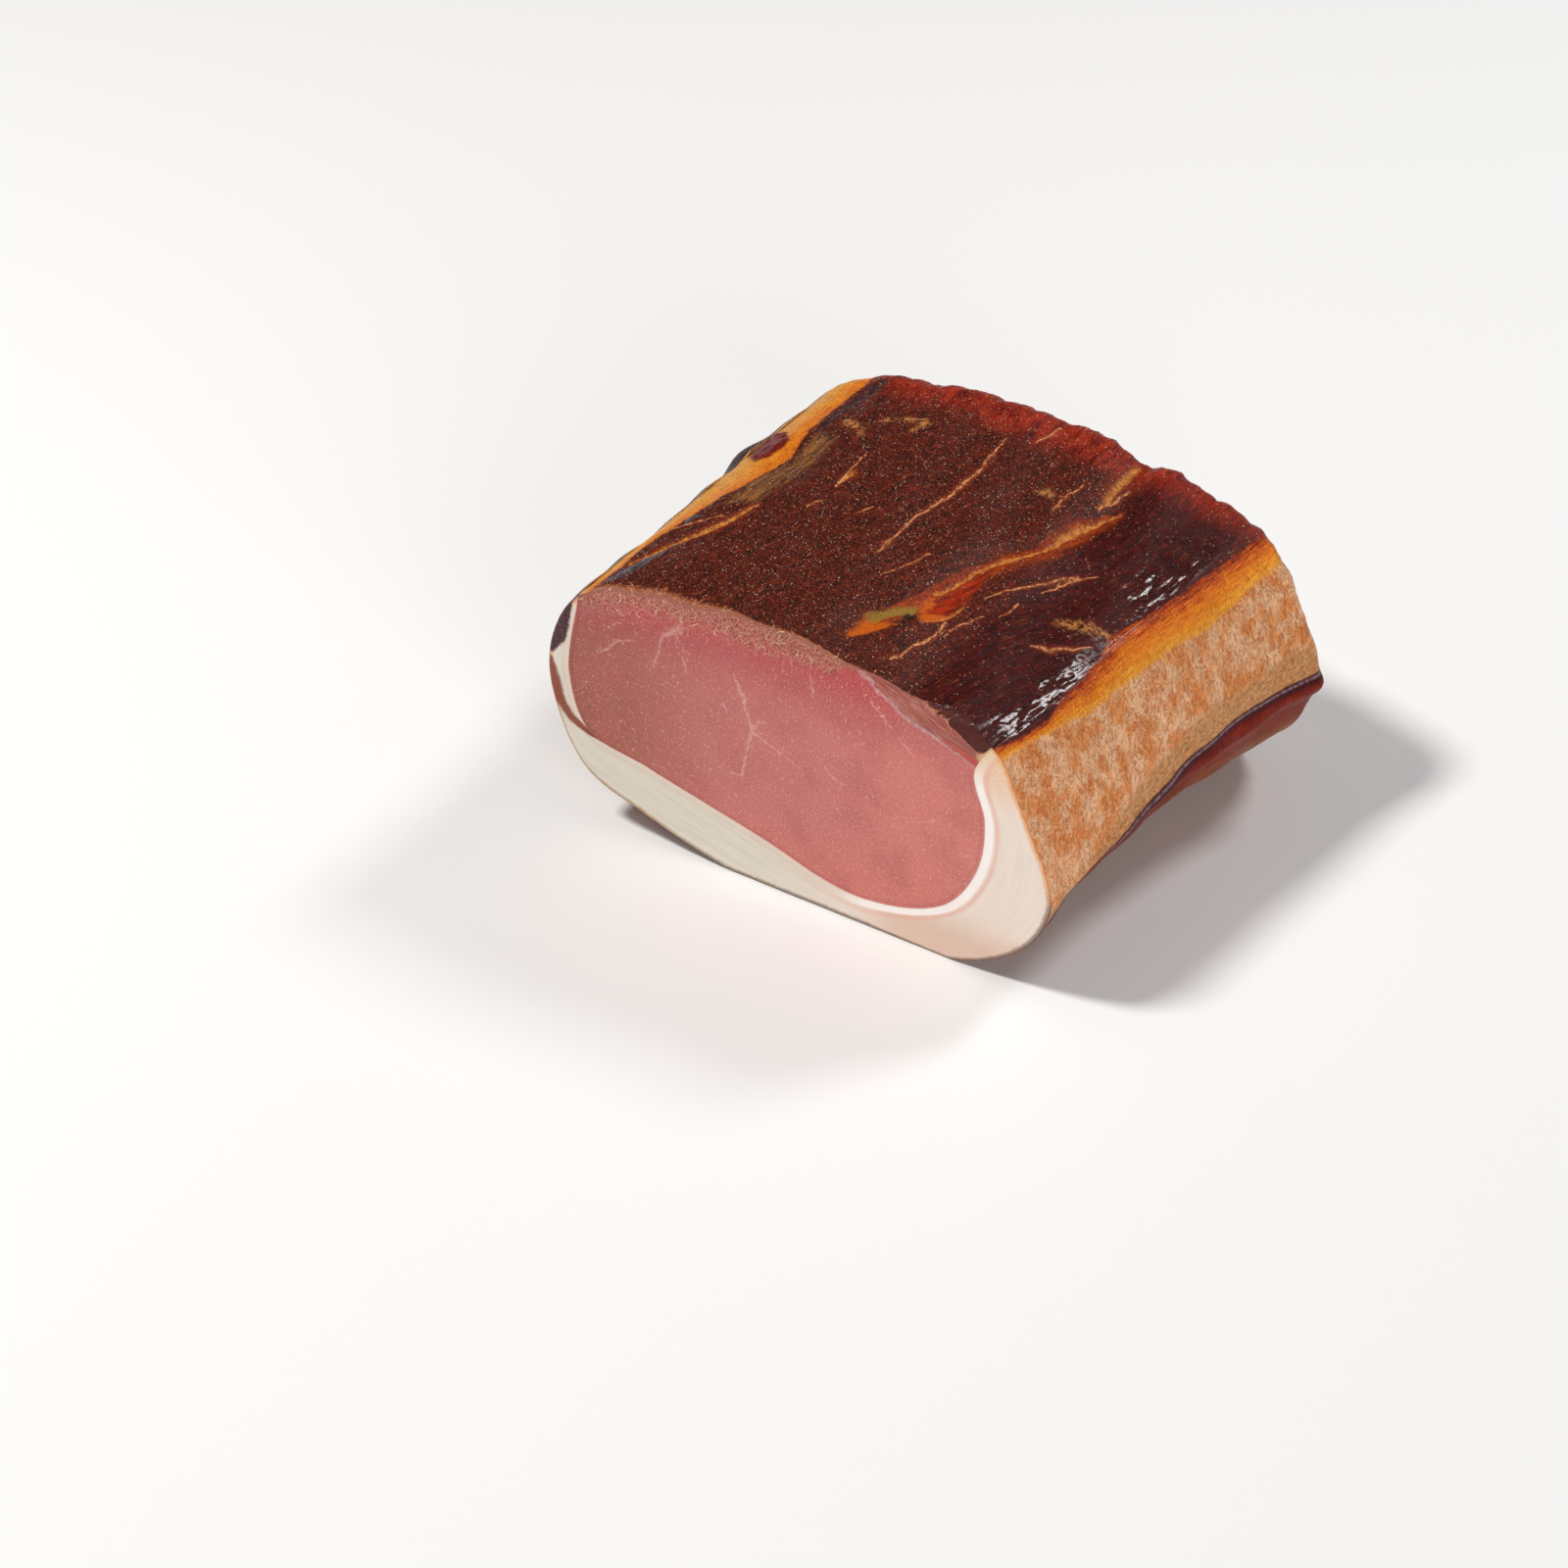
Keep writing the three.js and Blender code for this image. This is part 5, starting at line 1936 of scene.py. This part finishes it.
@dataclass(frozen=True)
class FreshLean(Finish):
    """The fresh cut through the lean: moist pink with pale veins under a frayed margin."""

    def dress(self) -> bpy.types.Material:
        """Make the material.

        Returns:
            The material.
        """
        material, graph, shader = self.start("Fresh lean")
        across, height, fray = graph.read("girth"), graph.read("along"), graph.read("fray")
        place = graph.flat(across, height)
        fine = graph.noise(place, 0.5, 5.0, 0.7)
        colour = graph.mix(graph.fade(across, -57.0, -12.0), tint(156, 84, 68), tint(196, 114, 108))
        colour = graph.mix(graph.fade(across, -8.0, 40.0), colour, tint(210, 122, 112))
        colour = graph.mix(graph.fade(height, 26.0, 8.0, 0.0, 0.5), colour, tint(212, 118, 104))
        clouds = graph.noise(place, 12.0, 3.0)
        colour = graph.mix(graph.fade(clouds, 0.44, 0.64, 0.0, 0.45), colour, tint(180, 94, 90))
        deep = graph.multiply(graph.fade(height, 44.0, 63.0, 0.0, 0.8),
                              graph.fade(across, 40.0, 18.0, 0.35, 1.0))
        colour = graph.mix(deep, colour, tint(174, 66, 70))
        colour = graph.mix(graph.fade(fine, 0.52, 0.7, 0.0, 0.6), colour, tint(232, 164, 152))
        colour = graph.mix(graph.fade(fine, 0.48, 0.3, 0.0, 0.55), colour, tint(146, 62, 62))
        rim = graph.multiply(graph.fade(graph.read("rim"), 1.8, 0.1),
                             graph.fade(graph.read("rim"), -1.0, 0.0))
        rim = graph.multiply(rim, graph.fade(across, -20.0, -52.0, 0.3, 0.85))
        colour = graph.mix(rim, colour, tint(138, 68, 50))
        hairs = self.strokes(graph, across, height, 2.2, 3.6, 0.022)
        broken = graph.noise(place, 0.9, 3.0, 0.7)
        hairs = graph.multiply(hairs, graph.fade(broken, 0.5, 0.64), 0.7)
        colour = graph.mix(hairs, colour, tint(232, 180, 168))
        pale = graph.multiply(self.flecks(graph, place, 1.1, 0.3, 0.2), 0.45)
        colour = graph.mix(pale, colour, tint(232, 182, 172))
        muscle = self.ragged(graph, "muscle", place, 1.5, 0.3, 0.35)
        colour = graph.mix(muscle, colour, self.cap_muscle(graph))
        vein = graph.multiply(self.thin(graph, "vein", place, 1.1),
                              graph.fade(broken, 0.34, 0.6, 0.15, 0.62))
        colour = graph.mix(vein, colour, tint(230, 184, 174))
        fascia = graph.multiply(self.thin(graph, "fascia", place, 0.8),
                                graph.fade(broken, 0.36, 0.6, 0.2, 0.65))
        colour = graph.mix(fascia, colour, tint(204, 176, 180))
        streak = graph.multiply(self.ragged(graph, "streak", place, 1.2, 0.5, 0.6), 0.8)
        colour = graph.mix(streak, colour, tint(196, 74, 62))
        corner = graph.multiply(self.ragged(graph, "pale", place, 1.2, 0.7, 0.7), 0.85)
        colour = graph.mix(corner, colour, tint(222, 182, 132))
        torn = self.ragged(graph, fray, place, 0.9, 0.42, 0.22)
        frayed = graph.use(self.effects.frayed, {"Place": place, "Fray": fray})
        colour = graph.mix(torn, colour, frayed)
        rough = graph.math("ADD", graph.fade(fine, 0.3, 0.7, 0.34, 0.52), graph.multiply(torn, 0.12))
        self.end(graph, shader, colour, rough, 0.1, fine, 0.00016)
        return material

    def cap_muscle(self, graph: Graph) -> bpy.types.NodeSocket:
        """The colour of the small muscle above the fascia, with its grain lying across the cut.

        Args:
            graph: The material's graph.

        Returns:
            The colour.
        """
        across, height = graph.read("girth"), graph.read("along")
        slant = graph.math("ADD", height, graph.multiply(across, 0.34))
        grain = self.streaks(graph, slant, across, 0.45, 5.0, 2.4)
        colour = graph.mix(grain, tint(128, 52, 46), tint(180, 104, 90))
        lines = graph.multiply(self.strokes(graph, slant, across, 0.9, 9.0, 0.05), 0.3)
        colour = graph.mix(lines, colour, tint(212, 162, 148))
        return graph.mix(graph.fade(across, 36.0, 46.0, 0.0, 0.5), colour, tint(150, 58, 50))


@dataclass(frozen=True)
class FreshFat(Finish):
    """The fresh cut through the fat: creamy layers, a white ring, and a smoked rim."""

    gloss: Gloss = Gloss(subsurface=0.15, reach=0.002, bleed=(1.0, 0.6, 0.4))

    def dress(self) -> bpy.types.Material:
        """Make the material.

        Returns:
            The material.
        """
        material, graph, shader = self.start("Fresh fat")
        across, height, depth = graph.read("across"), graph.read("height"), graph.read("depth")
        cover = graph.read("cover")
        place = graph.flat(across, height)
        fine = graph.noise(place, 0.7, 4.0, 0.6)
        layers = self.streaks(graph, depth, graph.math("ADD", across, height), 1.4, 16.0, 1.3)
        left = graph.mix(layers, tint(206, 198, 182), tint(230, 222, 208))
        right = graph.mix(layers, tint(226, 210, 196), tint(240, 224, 212))
        rightward = graph.fade(across, -10.0, 30.0)
        colour = graph.mix(rightward, left, right)
        pink = graph.multiply(graph.fade(height, 16.0, 5.0), graph.fade(across, 14.0, 30.0), 0.75)
        colour = graph.mix(pink, colour, tint(216, 180, 158))
        horn = graph.multiply(graph.fade(height, 42.0, 54.0), graph.fade(across, 20.0, 30.0))
        horn = graph.multiply(horn, graph.fade(fine, 0.3, 0.7, 0.3, 0.9))
        colour = graph.mix(horn, colour, tint(232, 186, 140))
        ring = graph.multiply(graph.fade(height, 58.0, 46.0), graph.fade(depth, 2.6, 1.9),
                              graph.fade(depth, 0.0, 0.4),
                              graph.fade(across, 8.0, 20.0))
        colour = graph.mix(ring, colour, tint(250, 240, 234))
        seam = graph.multiply(graph.fade(depth, 0.9, 0.3), graph.fade(across, 20.0, 8.0))
        colour = graph.mix(seam, colour, tint(232, 204, 190))
        for middle, half, strength, shade in ((3.2, 0.5, 0.6, tint(230, 172, 154)),
                                              (1.6, 0.4, 0.35, tint(220, 174, 152))):
            line = graph.math("ABSOLUTE", graph.math("SUBTRACT", depth, middle))
            line = self.ragged(graph, graph.math("SUBTRACT", half, line), place, 2.0, 0.6, 0.5)
            side = rightward if middle > 2 else graph.fade(across, 16.0, 4.0)
            colour = graph.mix(graph.multiply(line, side, strength), colour, shade)
        low = graph.fade(height, 30.0, 22.0)
        keel = graph.fade(across, -40.0, -20.0)
        brown = graph.mix(graph.noise(place, 0.9, 4.0, 0.6), tint(78, 50, 36), tint(136, 92, 56))
        golden = graph.mix(graph.noise(place, 0.9, 4.0, 0.6), tint(142, 96, 50), tint(206, 156, 88))
        rim = graph.mix(low, tint(222, 160, 92), graph.mix(keel, golden, brown))
        outer = self.ragged(graph, graph.math("SUBTRACT", 1.1, cover), place, 1.6, 0.45, 0.5)
        colour = graph.mix(graph.multiply(outer, 0.75), colour, rim)
        skin = graph.fade(cover, 0.5, 0.1, 0.0, 0.85)
        colour = graph.mix(skin, colour, graph.mix(low, tint(200, 108, 42), tint(84, 48, 32)))
        fold = graph.multiply(self.ragged(graph, "fold", place, 1.6, 0.3, 0.4), 0.95)
        colour = graph.mix(fold, colour, graph.mix(fine, tint(70, 16, 8), tint(170, 66, 22)))
        dark = self.ragged(graph, "dark", place, 1.6, 0.7, 0.4)
        colour = graph.mix(dark, colour, graph.mix(graph.fade(fine, 0.35, 0.65), tint(16, 5, 10),
                                                   tint(96, 46, 50)))
        self.end(graph, shader, colour, graph.fade(fine, 0.3, 0.7, 0.36, 0.5), 0.1, fine, 0.00008)
        return material


@dataclass(frozen=True)
class SmallBits(Finish):
    """The grains on the crust or the fibres of the torn margin, each with a tone of its own."""

    name: str = "Crust grains"
    dark: Tint = tint(90, 34, 22)
    light: Tint = tint(255, 212, 176)
    roughness: float = 0.3

    def dress(self) -> bpy.types.Material:
        """Make the material.

        Returns:
            The material.
        """
        material, graph, shader = self.start(self.name)
        tone = graph.math("POWER", graph.read("tone"), 2.5)
        uneven = graph.noise(graph.node("ShaderNodeTexCoord").outputs["Object"], 0.0004)
        self.end(graph, shader, graph.mix(tone, self.dark, self.light), self.roughness, 0.2, uneven, 0.00002)
        return material


class ScatterKind(Enum):
    """What is strewn over the lean: the piece's name."""

    GRAINS = "crust_grains"
    FIBRES = "frayed_fibres"


@dataclass(frozen=True)
class Scatter:
    """Small bits strewn over a surface by Geometry Nodes, sizes in metres."""

    kind: ScatterKind
    density: float
    smallest: float
    largest: float
    seed: int = 31
    sides: int = 4
    bends: tuple[tuple[float, float], ...] = ((0.45, 0.32), (0.5, -0.25), (0.35, 0.12))

    def build(self, surfaces: tuple[Spread, ...], place: Placing,
              material: bpy.types.Material) -> bpy.types.Object:
        """Strew the bits.

        Args:
            surfaces: The surfaces, facing outward, with the weights of each kind.
            place: Where they lie.
            material: The bits' finish.

        Returns:
            The piece.
        """
        weight = "grains" if self.kind is ScatterKind.GRAINS else "fibres"
        draft = Draft((weight,))
        for surface in surfaces:
            draft.sheet(draft.add(surface), Face.SKIN)
        made = draft.build(self.kind.value, [material], place)
        tree = self.tree(weight, material)
        modifier = made.modifiers.new("strew", "NODES")
        modifier.node_group = tree
        sizes = {"Density": self.density, "Smallest": self.smallest, "Largest": self.largest,
                 "Seed": self.seed}
        for item in tree.interface.items_tree:
            if item.in_out == "INPUT" and item.name in sizes:
                modifier[item.identifier] = sizes[item.name]
        bpy.context.view_layer.update()
        evaluated = made.evaluated_get(bpy.context.evaluated_depsgraph_get())
        strewn = bpy.data.meshes.new_from_object(evaluated)
        made.modifiers.remove(modifier)
        sheet = made.data
        made.data = strewn
        bpy.data.meshes.remove(sheet)
        return made

    def tree(self, weight: str, material: bpy.types.Material) -> bpy.types.NodeTree:
        """Build the node tree that strews the bits.

        Args:
            weight: The value that says how densely they lie.
            material: Their finish.

        Returns:
            The tree.
        """
        tree = bpy.data.node_groups.new(self.kind.value, "GeometryNodeTree")
        for name, kind in (("Surface", "Geometry"), ("Density", "Float"), ("Smallest", "Float"),
                           ("Largest", "Float"), ("Seed", "Int")):
            tree.interface.new_socket(name=name, in_out="INPUT", socket_type="NodeSocket" + kind)
        tree.interface.new_socket(name="Bits", in_out="OUTPUT", socket_type="NodeSocketGeometry")
        graph = Graph(tree)
        inner = graph.node("NodeGroupInput").outputs
        share = graph.node("GeometryNodeInputNamedAttribute", {"Name": weight}, data_type="FLOAT").outputs[0]
        points = graph.node("GeometryNodeDistributePointsOnFaces", {
            "Mesh": inner["Surface"], "Density": graph.multiply(share, inner["Density"]),
            "Seed": inner["Seed"]}, distribute_method="RANDOM").outputs
        angle = self.draw(graph, inner["Seed"], 1, 0.0, 2 * math.pi)
        spin = graph.node("FunctionNodeAxisAngleToRotation", {"Axis": (0.0, 0.0, 1.0), "Angle": angle})
        turned = graph.node("FunctionNodeRotateRotation", {
            "Rotation": points["Rotation"], "Rotate By": spin.outputs[0]}, rotation_space="LOCAL")
        size = self.draw(graph, inner["Seed"], 2, inner["Smallest"], inner["Largest"])
        placed = graph.node("GeometryNodeInstanceOnPoints", {
            "Points": points["Points"], "Instance": self.bit(graph), "Pick Instance": True,
            "Rotation": turned.outputs[0], "Scale": size})
        toned = graph.node("GeometryNodeStoreNamedAttribute", {
            "Geometry": placed.outputs[0], "Name": "tone",
            "Value": self.draw(graph, inner["Seed"], 3, 0.0, 1.0),
        }, data_type="FLOAT", domain="INSTANCE")
        real = graph.node("GeometryNodeRealizeInstances", {"Geometry": toned.outputs[0]})
        smooth = graph.node("GeometryNodeSetShadeSmooth", {0: real.outputs[0], "Shade Smooth": True})
        dressed = graph.node("GeometryNodeSetMaterial",
                             {"Geometry": smooth.outputs[0], "Material": material})
        graph.node("NodeGroupOutput", {0: dressed.outputs[0]})
        return tree

    @staticmethod
    def draw(graph: Graph, seed: Input, step: int, low: Input, high: Input) -> bpy.types.NodeSocket:
        """A random value for each bit.

        Args:
            graph: The tree.
            seed: The tree's seed.
            step: What is added to it, so that each draw differs.
            low: The lowest value.
            high: The highest value.

        Returns:
            The value.
        """
        own = graph.math("ADD", seed, float(step))
        return graph.node("FunctionNodeRandomValue", {2: low, 3: high, "Seed": own},
                          data_type="FLOAT").outputs[1]

    def bit(self, graph: Graph) -> bpy.types.NodeSocket:
        """The shapes that are strewn, one unit long.

        Args:
            graph: The tree.

        Returns:
            The shapes, as instances.
        """
        shapes = graph.node("GeometryNodeGeometryToInstance")
        if self.kind is ScatterKind.GRAINS:
            grain = graph.node("GeometryNodeMeshUVSphere", {
                "Segments": self.sides, "Rings": self.sides // 2, "Radius": 0.5})
            graph.tree.links.new(grain.outputs["Mesh"], shapes.inputs[0])
            return shapes.outputs[0]
        for middle, side in self.bends:
            curve = graph.node("GeometryNodeCurveQuadraticBezier", {
                "Resolution": 5, "Start": (0.0, 0.0, 0.0), "Middle": (middle, side, 0.05),
                "End": (0.8, -0.4 * side, 0.28)})
            factor = graph.node("GeometryNodeSplineParameter").outputs["Factor"]
            round_section = graph.node("GeometryNodeCurvePrimitiveCircle", {"Resolution": 3, "Radius": 0.06})
            strand = graph.node("GeometryNodeCurveToMesh", {
                "Curve": curve.outputs[0], "Profile Curve": round_section.outputs[0],
                "Scale": graph.fade(factor, 0.0, 1.0, 1.0, 0.3), "Fill Caps": True})
            graph.tree.links.new(strand.outputs[0], shapes.inputs[0])
        return shapes.outputs[0]


@dataclass(frozen=True)
class Lamp:
    """An area light: where it stands from the block's middle, its size, power and colour."""

    name: str
    direction: tuple[float, float, float]
    distance: float
    size: float
    power: float
    colour: Tint = (1.0, 1.0, 1.0)

    def place(self, middle: Vector) -> None:
        """Set the light up, aimed at the block's middle.

        Args:
            middle: The block's middle.
        """
        data = bpy.data.lights.new(self.name, "AREA")
        data.shape = "DISK"
        data.size = self.size
        data.energy = self.power
        data.color = self.colour
        made = bpy.data.objects.new(self.name, data)
        way = Vector(self.direction).normalized()
        made.location = middle + way * self.distance
        made.rotation_euler = way.to_track_quat("Z", "Y").to_euler()
        bpy.context.scene.collection.objects.link(made)


@dataclass(frozen=True)
class Studio:
    """The pale floor, the lights and the camera."""

    aim: tuple[float, float, float] = (-0.02905, -0.02507, 0.0)
    azimuth: float = 34.0
    elevation: float = 35.4
    distance: float = 1.1223
    lens: float = 112.5
    floor_reach: float = 3.0
    sky: float = 0.08
    block_middle: float = 0.03
    lamps: tuple[Lamp, ...] = (
        Lamp("key", (-0.5, -0.28, 0.82), 1.4, 0.25, 15.5, (1.0, 0.98, 0.95)),
        Lamp("streak box", (0.28, 0.68, 0.69), 1.2, 0.3, 5.5),
        Lamp("side fill", (0.78, -0.6, 0.22), 1.4, 0.8, 10.5),
    )

    def build(self) -> None:
        """Set everything up."""
        self.floor()
        for lamp in self.lamps:
            lamp.place(Vector((0.0, 0.0, self.block_middle)))
        self.camera()
        world = bpy.data.worlds.new("Soft surround")
        world.use_nodes = True
        world.node_tree.nodes["Background"].inputs["Color"].default_value = (1.0, 1.0, 1.0, 1.0)
        world.node_tree.nodes["Background"].inputs["Strength"].default_value = self.sky
        bpy.context.scene.world = world
        bpy.context.scene.view_settings.view_transform = "Standard"

    def floor(self) -> None:
        """Lay the floor under the block."""
        mesh = bpy.data.meshes.new("floor")
        reach, low = self.floor_reach, CAD_BOX[0].z
        corners = [(-reach, -reach, low), (reach, -reach, low), (reach, reach, low), (-reach, reach, low)]
        mesh.from_pydata(corners, [], [(0, 1, 2, 3)])
        material = bpy.data.materials.new("Pale floor")
        material.use_nodes = True
        shader = material.node_tree.nodes["Principled BSDF"]
        shader.inputs["Base Color"].default_value = (0.9, 0.9, 0.9, 1.0)
        shader.inputs["Roughness"].default_value = 0.6
        mesh.materials.append(material)
        made = bpy.data.objects.new("floor", mesh)
        bpy.context.scene.collection.objects.link(made)

    def camera(self) -> None:
        """Stand the camera at the photo's angle."""
        turn, rise = math.radians(self.azimuth), math.radians(self.elevation)
        back = Vector((math.sin(turn) * math.cos(rise), -math.cos(turn) * math.cos(rise), math.sin(rise)))
        data = bpy.data.cameras.new("camera")
        data.lens = self.lens
        made = bpy.data.objects.new("camera", data)
        made.location = Vector(self.aim) + back * self.distance
        made.rotation_euler = back.to_track_quat("Z", "Y").to_euler()
        bpy.context.scene.collection.objects.link(made)
        bpy.context.scene.camera = made


def settle(piece: bpy.types.Object, slot: str, *nodes: str) -> None:
    """Tell the frame what a piece is.

    Args:
        piece: The piece.
        slot: The name of a material slot, which is only written to the log.
        *nodes: The solids that it stands for.
    """
    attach(piece, BODY)
    if nodes:
        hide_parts(*nodes)
    LOG.info("%s: %d faces, slot %s", piece.name, len(piece.data.polygons), slot)


def main() -> None:
    """Build the block, its finishes and the studio."""
    form = LoinForm()
    surface = SmokedSurface(form)
    cut = CutSurface(form)
    place = Placing.fitted(surface)
    effects = Effects.build()
    skin = SmokedSkin(effects).dress()
    lean = LeanEye(form, surface, cut)
    settle(lean.build(place, skin, FreshLean(effects).dress()), "lean", "lean")
    settle(FatCap(form, surface, cut).build(place, skin, FreshFat(effects).dress()), "fat", "fat_cap")
    strewn = lean.strewn()
    grains = Scatter(ScatterKind.GRAINS, density=0.8e6, smallest=0.00014, largest=0.00036)
    settle(grains.build(strewn, place, SmallBits(effects).dress()), "lean")
    fibre_finish = SmallBits(effects, name="Torn fibres", dark=tint(196, 112, 78), light=tint(252, 212, 182),
                             roughness=0.5)
    fibres = Scatter(ScatterKind.FIBRES, density=1.5e6, smallest=0.0009, largest=0.0024, seed=47)
    settle(fibres.build(strewn, place, fibre_finish.dress()), "lean")
    Studio().build()


if __name__ == "__main__":
    logging.basicConfig(level=logging.INFO, format="%(name)s %(message)s")
    main()
